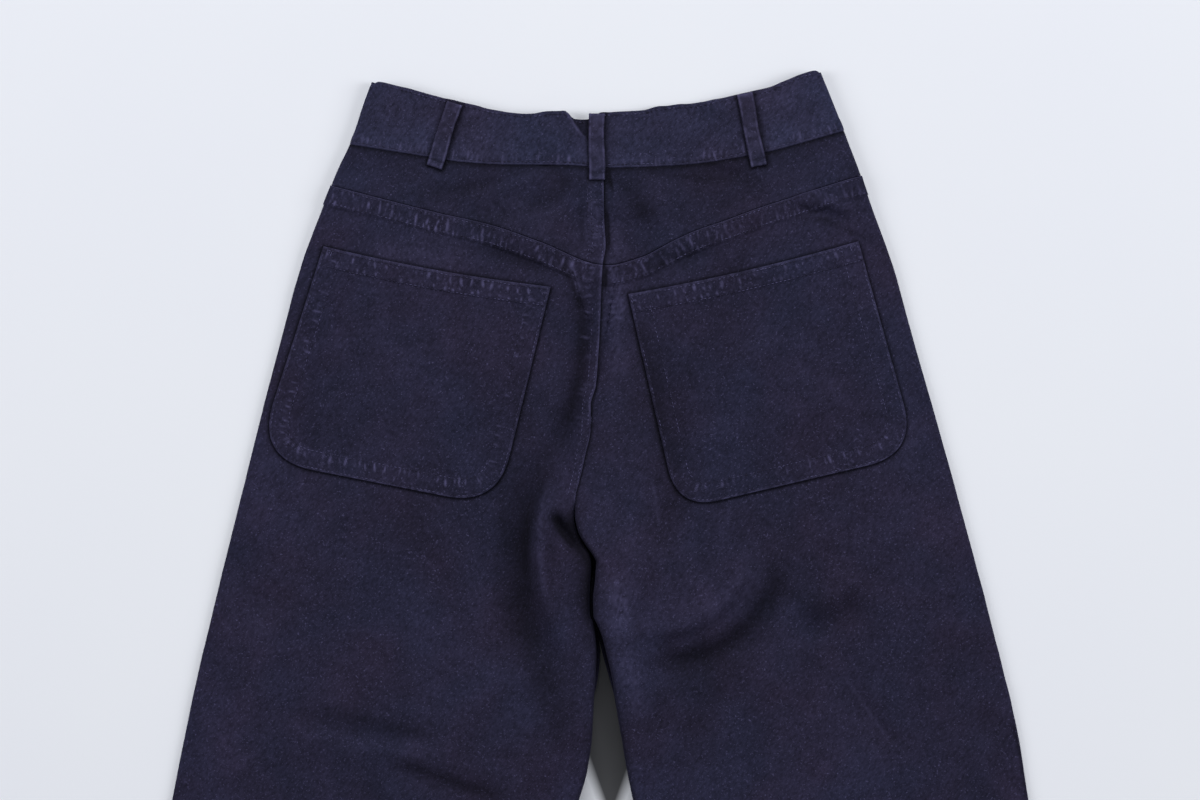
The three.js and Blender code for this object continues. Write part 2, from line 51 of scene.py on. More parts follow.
# Cloth and seams
TWILL = 1.2
BAND_TWILL = 2.0
POCKET_TWILL = 1.0
LOOP_TWILL = 1.3
SEAM_GAP = 0.3
EDGE_TURN = 2.0
LAYER_CLEARANCE = 0.7
LAP_HALF = 22
LAP_RAMP_END = 62
LAP_LIFT = 2.3
LAP_LOWEST_Y = 158
LAP_FADE = 20
BUTTON_Y = 191
FELL_DEPTH = 15.5
FELL_LIFT = 0.8
CROTCH_OPEN_Y = -76
CROTCH_SHUT_Y = -92
PHOTO_WIDTH = 960
CAMERA_HEIGHT = 2200


def table(names, *rows):
    """Named columns of a table whose rows run up its first column."""
    ordered = sorted(rows, key=lambda row: row[0])
    return {name: np.array([row[i] for row in ordered], float) for i, name in enumerate(names.split())}


def strokes(*rows):
    """Soft strokes on the plan: a path through three points, its width, its height and its lean."""
    names = "x0 y0 x1 y1 x2 y2 width height lean".split()
    return [dict(zip(names, row)) for row in rows]


SIDES = table(
    "y left right",
    (264, -179, 176), (240, -188, 185.5), (204, -200.5, 199.5), (186, -209, 206.5), (156, -221, 217),
    (108, -239, 234.5), (36, -259, 254.5), (-36, -277.5, 275), (-108, -295, 295), (-216, -321.5, 323),
    (-272, -333.5, 336), (-320, -343, 343.5), (-765, -432, 432), (-830, -445, 445),
)
INSIDE_LEGS = table(
    "y left right",
    (-60, -16, -15), (-92, -21.4, -20.4), (-104, -19.6, -18), (-116, -14, -11.6), (-123, -9, -6.4),
    (-130, -7.4, -3), (-146, -8.5, -4), (-158, -9, -5.4), (-172, -8.5, -5.2), (-179, -6, -2.2),
    (-190, -4, 2), (-205, -3.2, 5.6), (-222, -3.6, 9.4), (-240, -5, 12), (-272, -7.2, 17.5),
    (-296, -10.5, 21.5), (-320, -17, 26.5),
    (-830, -139, 139),
)
HEM_OUTER = (432, -765)
HEM_INNER = (139, -824)
SEAT_SEAM = table(
    "y x",
    (190, 3), (144, 3.6), (124, 4.4), (108, 2.2), (88, 1.2), (56, 0), (32, -1.6), (12, -3.4), (-4, -7.4),
    (-24, -7.8), (-44, -11.8), (-62, -15.6), (-76, -19), (-92, -21),
)
FRONT_SEAM = table("y x", (180, 0), (20, 0), (-50, -11), (-92, -25))
BACK_WAIST = table(
    "x y",
    (-181, 252.5), (-177, 254.6), (-161, 251), (-142, 246), (-123, 241), (-104, 236.5), (-75, 230.5),
    (-56, 229), (-36, 231), (-29, 231), (-20, 225), (-11, 224.6), (2, 230), (30, 231.5), (50, 235.5),
    (78, 238), (107, 244), (136, 250.5), (165, 262), (172, 263.2), (176, 261),
)
BACK_BAND_SEAM = table(
    "x y",
    (-200, 204), (-150, 196), (-115, 190.5), (-80, 188), (-25, 187.5), (5, 185.5), (60, 187.5),
    (119, 195), (196, 215),
)
YOKE_SEAM = table(
    "x y",
    (-213, 171), (-129, 149.5), (-84, 139), (-48, 126.5), (5, 108), (34, 115), (49, 122.5), (62, 129),
    (78, 136), (100, 143.5), (124, 152.5), (150, 161), (176, 169.5), (200, 177), (210, 179.5),
)
FRONT_WAIST = table("x y", (-181, 254), (-100, 226), (0, 212), (100, 230), (176, 262))
FRONT_BAND_SEAM = table("x y", (-200, 204), (-100, 182), (0, 170), (100, 187), (196, 215))
LEVELS = table(
    "y back front",
    (264, 9.8, 4), (168, 9, 4), (135, 7.5, 2.5), (100, 6, 1.1), (60, 5.3, 0.6), (-90, 5, 0.6),
    (-320, 4.6, 0.6), (-830, 4.4, 0.6),
)

# Folds of the seat side. A positive lean makes the side on the left of the path the gentler one.
FOLDS = strokes(
    (-22, 106, -16, 16, -58, -70, 12, -3.2, 0.2), (-30, -40, -66, -126, -38, -218, 16, -5.0, -0.3),
    (-20, -190, -40, -240, -30, -300, 14, -2.0, 0), (3, 176, -2, 60, -24, -84, 8, 4.0, 0),
    (-36, -62, -46, -126, -28, -210, 8, 5.0, 0), (-40, -88, -28, -106, -12, -126, 6, -4.5, 0),
    (22, 92, 50, -30, 56, -150, 13, -2.6, 0.2), (10, -120, 20, -190, 44, -262, 20, 3.5, 0),
    (22, -182, 88, -170, 122, -112, 10, 4.4, 0.2), (154, -160, 180, -160, 210, -134, 9, 2.4, 0),
    (22, -208, 108, -196, 146, -122, 11, -4.2, 0), (156, -178, 184, -180, 216, -156, 9, -2.2, 0),
    (-270, -236, -200, -266, -124, -272, 10, -1.8, 0), (-262, -252, -190, -282, -110, -288, 12, 1.8, 0),
    (-184, -280, -120, -310, -60, -318, 10, -2.2, 0), (-310, -178, -260, -158, -236, -148, 12, -1.2, 0),
    (192, -216, 214, -250, 240, -284, 9, -1.6, 0), (-10, 182, -30, 168, -66, 152, 9, -1.6, 0),
    (-30, 184, -70, 172, -110, 160, 6, 1.4, 0), (-52, 150, -90, 150, -128, 158, 7, -1.2, 0),
    (-60, 178, -100, 170, -150, 168, 6, -1.2, 0), (12, 182, 28, 160, 44, 134, 8, -2.6, 0.2),
    (20, 178, 44, 158, 70, 142, 6, 1.6, 0), (46, 186, 84, 184, 124, 176, 5, -1.6, 0),
    (146, 150, 178, 150, 204, 136, 5, -1.6, 0), (152, 158, 178, 158, 208, 148, 5, 1.3, 0),
    (-100, 122, -66, 112, -30, 96, 6, -1.6, 0), (28, 104, 60, 112, 100, 120, 7, -1.4, 0),
    (-140, 60, -110, 20, -96, -30, 26, 1.3, 0), (120, 60, 150, 16, 176, -30, 26, 1.3, 0),
    (-300, -380, -210, -410, -120, -400, 14, -2.2, 0), (-80, -440, -170, -470, -300, -520, 16, 2.4, 0),
    (-330, -590, -250, -640, -160, -650, 13, -2.0, 0), (90, -380, 190, -420, 300, -400, 15, 2.4, 0),
    (360, -470, 260, -520, 150, -500, 14, -2.2, 0), (190, -620, 270, -650, 380, -700, 16, 2.2, 0),
)

# Hollows that hardly any light reaches: a path, its width, and how dark it is
HOLLOWS = strokes(
    (-28, -26, -62, -150, -14, -268, 12, 0.48, -0.3), (-56, -80, -58, -126, -42, -180, 6, 0.25, 0),
    (-38, 112, -24, 96, -15, 66, 4, 0.55, 0.4), (-42, -86, -28, -106, -17, -120, 5, 1.0, 0),
    (-21, -110, -10, -122, -3, -137, 3.4, 0.9, 0), (26, -206, 108, -192, 146, -122, 10, 0.46, 0.25),
    (40, -220, 82, -228, 122, -206, 15, 0.3, 0), (134, -126, 158, -158, 196, -154, 7, 0.36, 0),
    (-17, 100, -16, 22, -38, -44, 8, 0.5, 0.2), (24, 88, 44, 10, 50, -60, 6, 0.3, 0),
    (7, 188, 8, 176, 12, 164, 1.8, 0.9, 0), (-14, 166, -15, 142, -13, 120, 2.6, 0.4, 0),
    (-72, 174, -104, 170, -150, 158, 7, 0.22, 0), (-34, 160, -70, 146, -120, 146, 8, 0.2, 0),
    (60, 178, 104, 176, 150, 182, 6, 0.2, 0), (34, 184, 72, 178, 118, 178, 2.6, 0.3, 0),
    (164, 148, 196, 137, 228, 120, 3.4, 0.42, 0), (146, 152, 168, 144, 190, 146, 2.6, 0.3, 0),
    (5.8, 154, 6.4, 136, 7, 118, 1.5, 1.3, 0), (4.8, 110, 4.2, 98, 3.6, 86, 1.2, 0.9, 0),
    (50, 150, 96, 160, 150, 170, 8, 0.16, 0), (14, 184, 30, 160, 40, 136, 8, 0.32, 0),
    (-14, 186, -34, 170, -66, 150, 8, 0.28, 0), (-116, 124, -80, 117, -40, 104, 7, 0.3, 0),
    (30, 104, 60, 112, 90, 120, 7, 0.28, 0), (327, -244, 337, -290, 342, -330, 1.3, 0.6, 0),
    (-240, -238, -180, -258, -110, -275, 5, 0.36, 0), (-200, -274, -136, -298, -58, -322, 5.5, 0.38, 0),
)

# Places rubbed pale by wear and washing, and painted highlights along the crests of some folds
RUBS_AND_CREST_HIGHLIGHTS = strokes(
    (-34, -50, -48, -104, -40, -176, 2.0, 0.16, 0), (-5, 164, -5, 144, -6, 122, 6, 0.22, 0),
    (-24, 118, -22, 104, -13, 76, 2.2, 0.5, 0), (10, 150, 12, 130, 16, 108, 6, 0.12, 0),
    (6, 96, 12, 60, 14, 10, 8, 0.1, 0), (4, -134, 16, -164, 10, -196, 9, 0.22, 0),
    (14, -190, 24, -222, 34, -262, 10, 0.16, 0), (40, -60, 45, -84, 47, -110, 1.4, 0.16, 0),
    (190, -214, 214, -248, 240, -284, 1.6, 0.14, 0), (-4, 118, 14, 92, 12, 56, 7, 0.2, 0),
    (-330, -120, -300, -160, -250, -190, 24, 0.08, 0), (60, -176, 100, -164, 130, -120, 12, 0.1, 0),
    (-20, 150, -60, 150, -110, 166, 8, 0.08, 0), (-200, 110, -150, 118, -90, 108, 9, 0.1, 0),
    (216, 60, 236, 0, 252, -60, 8, 0.1, 0),
)
FOLD_FADE = 0.3
FOLD_GAIN = 1.5
LOFT = 4.6
LOFT_REACH = 70
LOFT_TOP = (190, 110)
FOLD_STEPS = 8

BELT_LOOPS = {
    "back_left": ((-116, 237), (-132.5, 186)),
    "back_centre": ((-2.5, 229), (-2.5, 176)),
    "back_right": ((115.5, 245), (127, 187)),
    "front_left": ((-104, 226), (-110, 180)),
    "front_right": ((104, 230), (110, 183)),
}
LOOP_WIDTH = 12.8
LOOP_BOW = 1.3
LOOP_SEAT = 0.4

POCKETS = {
    "left": ((-221, 123, 0), (-39.5, 90.5, 0), (-82, -85, 42), (-276, -47, 48)),
    "right": ((22.5, 85, 0), (206.5, 127, 0), (254, -43, 42), (62, -88, 34)),
}
POCKET_DIP = 3
POCKET_HEM = 15


def smooth(start, end, value):
    t = np.clip((value - start) / (end - start), 0, 1)
    return t * t * (3 - 2 * t)


def bell(value, centre, width):
    """Bell-shaped weight, 1 at its centre."""
    return np.exp(-(((value - centre) / width) ** 2))


def curve(rows, along, column):
    """Smooth curve without overshoot through two columns of a table, straight past its ends."""
    at, value = rows[along], rows[column]
    steps = np.diff(value) / np.diff(at)
    slopes = np.zeros_like(value)
    both = steps[:-1] * steps[1:] > 0
    inner = np.zeros(len(steps) - 1)
    inner[both] = 2 * steps[:-1][both] * steps[1:][both] / (steps[:-1][both] + steps[1:][both])
    slopes[0], slopes[-1], slopes[1:-1] = steps[0], steps[-1], inner

    def read(place):
        place = np.asarray(place, float)
        i = np.clip(np.searchsorted(at, place, side="right") - 1, 0, len(at) - 2)
        span = at[i + 1] - at[i]
        t = np.clip((place - at[i]) / span, 0, 1)
        bend = t * t * (3 - 2 * t)
        lead = t * (1 - t) ** 2 * slopes[i] - t * t * (1 - t) * slopes[i + 1]
        within = value[i] + (value[i + 1] - value[i]) * bend + span * lead
        before = slopes[0] * np.minimum(place - at[0], 0)
        return within + before + slopes[-1] * np.maximum(place - at[-1], 0)

    return read


side_edge = {-1: curve(SIDES, "y", "left"), 1: curve(SIDES, "y", "right")}
leg_edge = {-1: curve(INSIDE_LEGS, "y", "left"), 1: curve(INSIDE_LEGS, "y", "right")}
seat_seam = curve(SEAT_SEAM, "y", "x")
front_seam = curve(FRONT_SEAM, "y", "x")
back_waist = curve(BACK_WAIST, "x", "y")
back_band_seam = curve(BACK_BAND_SEAM, "x", "y")
yoke_seam = curve(YOKE_SEAM, "x", "y")
front_waist = curve(FRONT_WAIST, "x", "y")
front_band_seam = curve(FRONT_BAND_SEAM, "x", "y")
back_level = curve(LEVELS, "y", "back")
front_level = curve(LEVELS, "y", "front")
FACES_UP, FACES_DOWN = 1, -1

# The legs stand up beside the gap between them, the right one first
PUFF = table(
    "y left right",
    (-40, 0, 0), (-92, 3, 5), (-130, 4, 8.6), (-190, 6.5, 9), (-290, 9, 9), (-420, 6, 6), (-600, 2, 2),
    (-830, 0, 0),
)
PUFF_LEFT = curve(PUFF, "y", "left")
PUFF_RIGHT = curve(PUFF, "y", "right")
PUFF_WIDTH = 42
SEAM_RISE = 0.6


def beside_leg_gap(x, y):
    """How far a leg stands up near its inner edge, below the crotch."""
    middle = (leg_edge[-1](y) + leg_edge[1](y)) / 2
    edge = np.where(x < middle, leg_edge[-1](y), leg_edge[1](y))
    near = bell(x, edge, PUFF_WIDTH)
    tall = np.where(x < middle, PUFF_LEFT(y), PUFF_RIGHT(y))
    return near * tall


def seam_level(x, y):
    middle = (back_level(y) + front_level(y)) / 2
    return middle + SEAM_RISE * beside_leg_gap(x, y) * leg_shut(y)


def leg_shut(y):
    return smooth(CROTCH_OPEN_Y, CROTCH_SHUT_Y, y)


def hem_line(side):
    rise = (HEM_OUTER[1] - HEM_INNER[1]) / (HEM_OUTER[0] - HEM_INNER[0])
    return lambda x: HEM_INNER[1] + (side * x - HEM_INNER[0]) * rise


def fold_path(fold):
    """Points on a curve from a fold's start to its end through its middle."""
    start, middle, end = (np.array([fold[f"x{i}"], fold[f"y{i}"]], float) for i in range(3))
    pull = 2 * middle - (start + end) / 2
    t = np.linspace(0, 1, FOLD_STEPS + 1)[:, None]
    return (1 - t) ** 2 * start + 2 * t * (1 - t) * pull + t * t * end


def along_path(path, x, y):
    """Distance along an open path, distance off it (positive to its left), and its length."""
    spans = np.diff(path, axis=0)
    lengths = np.hypot(spans[:, 0], spans[:, 1])
    ends = np.concatenate([[0], np.cumsum(lengths)])
    best = np.full(x.shape, np.inf)
    along = np.zeros(x.shape)
    off = np.zeros(x.shape)
    for i, (dx, dy) in enumerate(spans):
        rx, ry = x - path[i, 0], y - path[i, 1]
        t = np.clip((rx * dx + ry * dy) / lengths[i] ** 2, 0, 1)
        gap = np.hypot(rx - t * dx, ry - t * dy)
        near = gap < best
        best = np.where(near, gap, best)
        along = np.where(near, ends[i] + t * lengths[i], along)
        off = np.where(near, np.sign(dx * ry - dy * rx) * gap, off)
    return along, off, ends[-1]


def stroke_sum(strokes, x, y):
    """Sum of soft strokes along curved paths, read at places of the plan."""
    total = np.zeros(x.shape)
    for fold in strokes:
        path = fold_path(fold)
        reach = 3 * fold["width"] * (1 + abs(fold["lean"]))
        low, high = path.min(0) - reach, path.max(0) + reach
        near = (x > low[0]) & (x < high[0]) & (y > low[1]) & (y < high[1])
        if not near.any():
            continue
        along, off, length = along_path(path, x[near], y[near])
        width = fold["width"] * (1 + fold["lean"] * np.sign(off))
        share = along / length
        fade = smooth(0, FOLD_FADE, share) * smooth(1, 1 - FOLD_FADE, share)
        total[near] += fold["height"] * fade * bell(off, 0, width)
    return total


def fold_heights(x, y):
    return FOLD_GAIN * stroke_sum(FOLDS, x, y)


def loft(x, y):
    """How far air lifts the back above the front, away from the side edges and the waistband."""
    left, right = side_edge[-1](y), side_edge[1](y)
    inward = np.minimum(x - left, right - x)
    return LOFT * smooth(0, LOFT_REACH, inward) * smooth(*LOFT_TOP, y)


def lap_lift(x):
    return LAP_LIFT * smooth(LAP_RAMP_END, LAP_HALF, x)


def back_height(x, y):
    lap = lap_lift(x) * smooth(LAP_LOWEST_Y - LAP_FADE, LAP_LOWEST_Y, y)
    lowest = front_level(y) + TWILL + LAYER_CLEARANCE + lap
    spare = back_level(y) + fold_heights(x, y) + beside_leg_gap(x, y) + loft(x, y) - lowest
    return lowest + LAYER_CLEARANCE * np.logaddexp(0, spare / LAYER_CLEARANCE)


def front_height(x, y):
    return front_level(y) + 0 * x


def lapped_height(x, y):
    return front_level(y) + lap_lift(x)


# Grids of wall points

TURN_DEGREES = (0, 18, 36, 54, 72)
MEET_ROUNDS = 12
HEM_FOLLOW_Y = -480


def panel_columns(count, turn_inner=True):
    """Columns across a panel: share of the width, which edge it turns over, and how far."""
    turns = list(TURN_DEGREES)
    share = [0.0] * len(turns) + list(np.linspace(0, 1, count + 1))
    edge = [-1] * len(turns) + [0] * (count + 1)
    angle = turns + [90] * (count + 1)
    if turn_inner:
        share += [1.0] * len(turns)
        edge += [1] * len(turns)
        angle += turns[::-1]
    return np.array(share), np.array(edge), np.radians(angle)


def leg_rows(top, sections):
    levels = [top]
    for to, count in sections:
        levels += list(np.linspace(levels[-1], to, count + 1)[1:])
    return np.array(levels)


def panel_grid(height, facing, columns, rows, outer, inner, top, bottom, shut=None, even=False):
    """Middle of a panel's wall as x, y, z arrays, between two side edges and two end edges."""
    share, edge, angle = columns
    across = np.sign(inner(0.0) - outer(0.0))
    overhang = EDGE_TURN * np.cos(angle) * edge * across

    def place_x(y):
        start = outer(y) + across * EDGE_TURN * (edge[0] < 0)
        end = inner(y) - across * EDGE_TURN * (edge[-1] > 0)
        return start + (end - start) * share + overhang

    def meet(line):
        y = np.full(share.shape, float(line(0.0)))
        for _ in range(MEET_ROUNDS):
            y = line(place_x(y))
        return y

    top_y, bottom_y = meet(top), meet(bottom)
    if even:
        y = top_y + (bottom_y - top_y) * rows[:, None]
    else:
        keep_top = smooth(CROTCH_OPEN_Y, rows[0], rows)[:, None]
        keep_bottom = smooth(HEM_FOLLOW_Y, rows[-1], rows)[:, None]
        y = rows[:, None] + (top_y - rows[0]) * keep_top + (bottom_y - rows[-1]) * keep_bottom
    x = place_x(y)
    level = height(x, y)
    reach = level - seam_level(x, y) - facing * SEAM_GAP / 2
    closing = np.where(edge > 0, shut(y) if shut else 1.0, 1.0)
    z = level - reach * closing * (1 - np.sin(angle))
    return np.stack([x, y, z], axis=-1)


def grid_normals(grid, facing):
    normal = np.cross(np.gradient(grid, axis=1), np.gradient(grid, axis=0))
    normal /= np.maximum(np.linalg.norm(normal, axis=-1, keepdims=True), 1e-12)
    middle = normal[grid.shape[0] // 2, grid.shape[1] // 2, 2]
    return normal * (1 if middle * facing > 0 else -1)


# Meshes

# The inner face of a shell has one point for this many of the outer face, along and across
COARSE = 3
button_low, button_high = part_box("waist_button")
shift_y = (button_low[1] + button_high[1]) / 2 / MM - BUTTON_Y


def to_frame(points):
    return (np.asarray(points, float) + (0, shift_y, 0)) * MM


def write_mesh(name, points, faces, values=None):
    """Mesh object from points in plan millimetres and rows of triangles, or of quads."""
    faces = np.asarray(faces, np.int32)
    corners = faces.shape[1]
    mesh = bpy.data.meshes.new(name)
    mesh.vertices.add(len(points))
    mesh.vertices.foreach_set("co", to_frame(points).astype(np.float32).ravel())
    mesh.loops.add(faces.size)
    mesh.loops.foreach_set("vertex_index", faces.ravel())
    mesh.polygons.add(len(faces))
    mesh.polygons.foreach_set("loop_start", np.arange(0, faces.size, corners, dtype=np.int32))
    mesh.polygons.foreach_set("loop_total", np.full(len(faces), corners, np.int32))
    mesh.polygons.foreach_set("use_smooth", np.full(len(faces), True))
    for key, value in (values or {}).items():
        layer = mesh.attributes.new(key, "FLOAT", "POINT")
        layer.data.foreach_set("value", np.asarray(value, np.float32).ravel())
    mesh.update(calc_edges=True)
    mesh.validate()
    piece = bpy.data.objects.new(name, mesh)
    bpy.context.scene.collection.objects.link(piece)
    return piece


def grid_triangles(index, flip):
    a, b, c, d = index[:-1, :-1], index[1:, :-1], index[1:, 1:], index[:-1, 1:]
    halves = [np.stack(corners, -1).reshape(-1, 3) for corners in ((a, b, c), (a, c, d))]
    return np.concatenate(halves)[:, :: -1 if flip else 1]


def rim_triangles(fine_line, coarse_line):
    """Fans that join an edge of the outer face to the same edge of the inner face."""
    found = []
    half = COARSE // 2
    for k in range(len(coarse_line) - 1):
        step = fine_line[k * COARSE : k * COARSE + COARSE + 1]
        near, far = coarse_line[k], coarse_line[k + 1]
        for n in range(COARSE):
            found.append((near if n < half else far, step[n], step[n + 1]))
        found.append((far, near, step[half]))
    return np.array(found)


def shell(name, grid, outer, inner, facing, values):
    """Closed wall: a fine outer face, a coarse inner face, and a rim of triangles."""
    rows, columns = grid.shape[:2]
    assert (rows - 1) % COARSE == 0 and (columns - 1) % COARSE == 0, (name, rows, columns)
    normals = grid_normals(grid, facing)
    outside = grid + normals * np.broadcast_to(outer, (rows, columns))[..., None]
    pick = (slice(None, None, COARSE), slice(None, None, COARSE))
    inside = grid[pick] + normals[pick] * inner
    fine = np.arange(rows * columns).reshape(rows, columns)
    coarse = rows * columns + np.arange(inside[..., 0].size).reshape(inside.shape[:2])
    faces = np.concatenate([
        grid_triangles(fine, False),
        grid_triangles(coarse, True),
        rim_triangles(fine[0], coarse[0]),
        rim_triangles(fine[:, -1], coarse[:, -1]),
        rim_triangles(fine[-1, ::-1], coarse[-1, ::-1]),
        rim_triangles(fine[::-1, 0], coarse[::-1, 0]),
    ])
    probe = outside[rows // 2, columns // 2]
    down = outside[rows // 2 + 1, columns // 2] - probe
    across = outside[rows // 2, columns // 2 + 1] - probe
    if np.cross(down, across)[2] * facing < 0:
        faces = faces[:, ::-1]
    points = np.concatenate([outside.reshape(-1, 3), inside.reshape(-1, 3)])
    extra = {
        key: np.concatenate([np.broadcast_to(value, (rows, columns)).ravel(), np.zeros(coarse.size)])
        for key, value in values.items()
    }
    return write_mesh(name, points, faces, extra)


# Relief

LATTICE = 128
LATTICE_START = 1000.0


def lattice_noise(x, y, cell, seed):
    """Smooth noise from -1 to 1 whose lumps are about one cell across."""
    rng = np.random.default_rng(seed)
    lattice = rng.uniform(-1, 1, (LATTICE, LATTICE))
    u, v = x / cell + LATTICE_START, y / cell + LATTICE_START
    i, j = np.floor(u).astype(int), np.floor(v).astype(int)
    s, t = u - i, v - j
    s, t = s * s * (3 - 2 * s), t * t * (3 - 2 * t)
    at = lambda a, b: lattice[(i + a) % LATTICE, (j + b) % LATTICE]
    low = at(0, 0) * (1 - s) + at(1, 0) * s
    high = at(0, 1) * (1 - s) + at(1, 1) * s
    return low * (1 - t) + high * t


def crumple(x, y):
    """Shallow unevenness of washed twill."""
    broad = lattice_noise(x, y, 46, 1) * 0.35
    middle = lattice_noise(x + 0.4 * y, y, 17, 2) * 0.16
    small = lattice_noise(x, y, 7, 3) * 0.05
    return broad + middle + small


# Rows of puckers. Each has a seed, the spacing along its seam, its centre and reach off the seam,
# and the height and width of a ripple.
PUCKER_ROWS = {
    "yoke_upper": (11, 5, 3.5, 2.4, 0.55, 1.0),
    "yoke_lower": (21, 5.5, 13, 3.0, 0.75, 1.1),
    "yoke_across": (25, 7, 8, 5.5, 0.75, 1.2),
    "seat_leg": (41, 6.0, 9, 5.5, 1.1, 1.35),
    "seat_yoke": (61, 6.0, 9, 5.5, 1.1, 1.35),
    "band_lower": (31, 4, 5, 5, 0.75, 1.1),
    "band_upper": (33, 7, 4, 3, 0.35, 1.6),
    "pocket_top": (71, 7.5, 6, 3.4, 0.75, 1.2),
    "pocket_hem": (81, 7.5, 13, 2.2, 0.75, 1.3),
    "pocket_edge": (91, 6, 5, 3, 0.45, 1.0),
    "pocket_inner": (95, 6, 12, 4.5, 0.7, 1.1),
}
PUCKER_CELL = 0.5
PUCKER_FROM = -2
PUCKER_TO = 34
# Keeps a reading just inside the last cell of a field
PAST_LAST = 1.001


def pucker_field(length, seed, spacing, centre, reach, height, width):
    """Heights of a row of ripples, in cells along and off the stitches that draw them up."""
    rng = np.random.default_rng(seed)
    s = np.arange(0, length + 1, PUCKER_CELL)[:, None]
    d = np.arange(PUCKER_FROM, PUCKER_TO, PUCKER_CELL)[None, :]
    field = np.zeros((s.size, d.size))
    place = spacing * rng.uniform(0.3, 1)
    while place < length:
        tall = height * rng.uniform(0.35, 1.15)
        wide = width * rng.uniform(0.7, 1.3)
        deep = reach * rng.uniform(0.5, 1.2)
        mid = centre + reach * rng.uniform(-0.35, 0.35)
        slant = rng.uniform(-0.25, 0.25)
        ds = (s - place) - slant * (d - mid)
        field = np.maximum(field, tall * bell(ds, 0, wide) * bell(d, mid, deep))
        place += spacing * rng.uniform(0.6, 1.4)
    return field


def puckers(row, length, along, off, turn=0):
    """Height of a named row of puckers at distances along and off its seam. Turn changes its seed."""
    seed, *shape = PUCKER_ROWS[row]
    field = pucker_field(length, seed + turn, *shape)
    u = np.clip(along / PUCKER_CELL, 0, field.shape[0] - PAST_LAST)
    v = (off - PUCKER_FROM) / PUCKER_CELL
    inside = (v >= 0) & (v < field.shape[1] - 1)
    v = np.clip(v, 0, field.shape[1] - PAST_LAST)
    i, j = u.astype(int), v.astype(int)
    s, t = u - i, v - j
    low = field[i, j] * (1 - s) + field[i + 1, j] * s
    high = field[i, j + 1] * (1 - s) + field[i + 1, j + 1] * s
    return np.where(inside, low * (1 - t) + high * t, 0)


PATH_STEP = 2.0


def line_points(line, x0, x1):
    x = np.arange(x0, x1 + PATH_STEP / 2, PATH_STEP)
    return np.stack([x, line(x)], axis=-1)


def seam_points(line, y0, y1):
    """Points down a seam that is read as x at y."""
    y = np.arange(y0, y1, -PATH_STEP)
    return np.stack([line(y), y], axis=-1)


# Materials

# Colours from 0 to 255, as they show
# Pale colour of worn twill and its flecks, also used for painted highlights
WORN_AND_HIGHLIGHT = (98, 95, 136)
SHEEN = (150, 150, 205)
THREAD_NEW = (34, 32, 50)
THREAD_WORN = (76, 74, 108)
FLOOR_COOL = (234, 237, 246)
FLOOR_PALE = (238, 241, 247)
FLOOR_SHADOW = (28, 28, 30)
WARM_DYE = (1.07, 0.97, 0.97)
COOL_DYE = (0.93, 1.02, 1.04)
TWILL_DIAGONAL = math.radians(38)
DEEPEST_SHADE = 0.25
NODE_SPACING = 220
NODES_IN_A_ROW = 8


def srgb(red, green, blue):
    channel = lambda c: c / 12.92 / 255 if c <= 10 else ((c / 255 + 0.055) / 1.055) ** 2.4
    return (channel(red), channel(green), channel(blue), 1.0)


def put(tree, kind, values=None, **settings):
    """Shader node with its settings and the values of its input sockets, set out in rows."""
    row, column = divmod(len(tree.nodes), NODES_IN_A_ROW)
    made = tree.nodes.new(kind)
    made.location = (-NODE_SPACING * (NODES_IN_A_ROW - column), -NODE_SPACING * row)
    for key, value in settings.items():
        setattr(made, key, value)
    for key, value in (values or {}).items():
        if isinstance(value, bpy.types.NodeSocket):
            tree.links.new(value, made.inputs[key])
        else:
            made.inputs[key].default_value = value
    return made


def noise_fac(tree, vector, scale, detail=2.0, rough=0.55, turn=0.0, stretch=(1, 1, 1)):
    turned = put(tree, "ShaderNodeMapping", {"Vector": vector, "Rotation": (0, 0, turn)}).outputs[0]
    pulled = put(tree, "ShaderNodeMapping", {"Vector": turned, "Scale": stretch}).outputs[0]
    values = {"Vector": pulled, "Scale": scale, "Detail": detail, "Roughness": rough}
    return put(tree, "ShaderNodeTexNoise", values).outputs["Fac"]


def ramp(tree, source, low, high, to_low, to_high):
    values = {"Value": source, "From Min": low, "From Max": high, "To Min": to_low, "To Max": to_high}
    return put(tree, "ShaderNodeMapRange", values).outputs[0]


def blend(tree, mode, factor, first, second):
    values = {0: factor, 6: first, 7: second}
    return put(tree, "ShaderNodeMix", values, data_type="RGBA", blend_type=mode).outputs[2]


def math_node(tree, operation, first, second):
    return put(tree, "ShaderNodeMath", {0: first, 1: second}, operation=operation).outputs[0]


def new_material(name, roughness, specular):
    """Material with its node tree, its main shader, and the place on the object in metres."""
    material = bpy.data.materials.new(name)
    material.use_nodes = True
    tree = material.node_tree
    surface = tree.nodes["Principled BSDF"]
    surface.inputs["Roughness"].default_value = roughness
    surface.inputs["Specular IOR Level"].default_value = specular
    return material, tree, surface, put(tree, "ShaderNodeTexCoord").outputs["Object"]


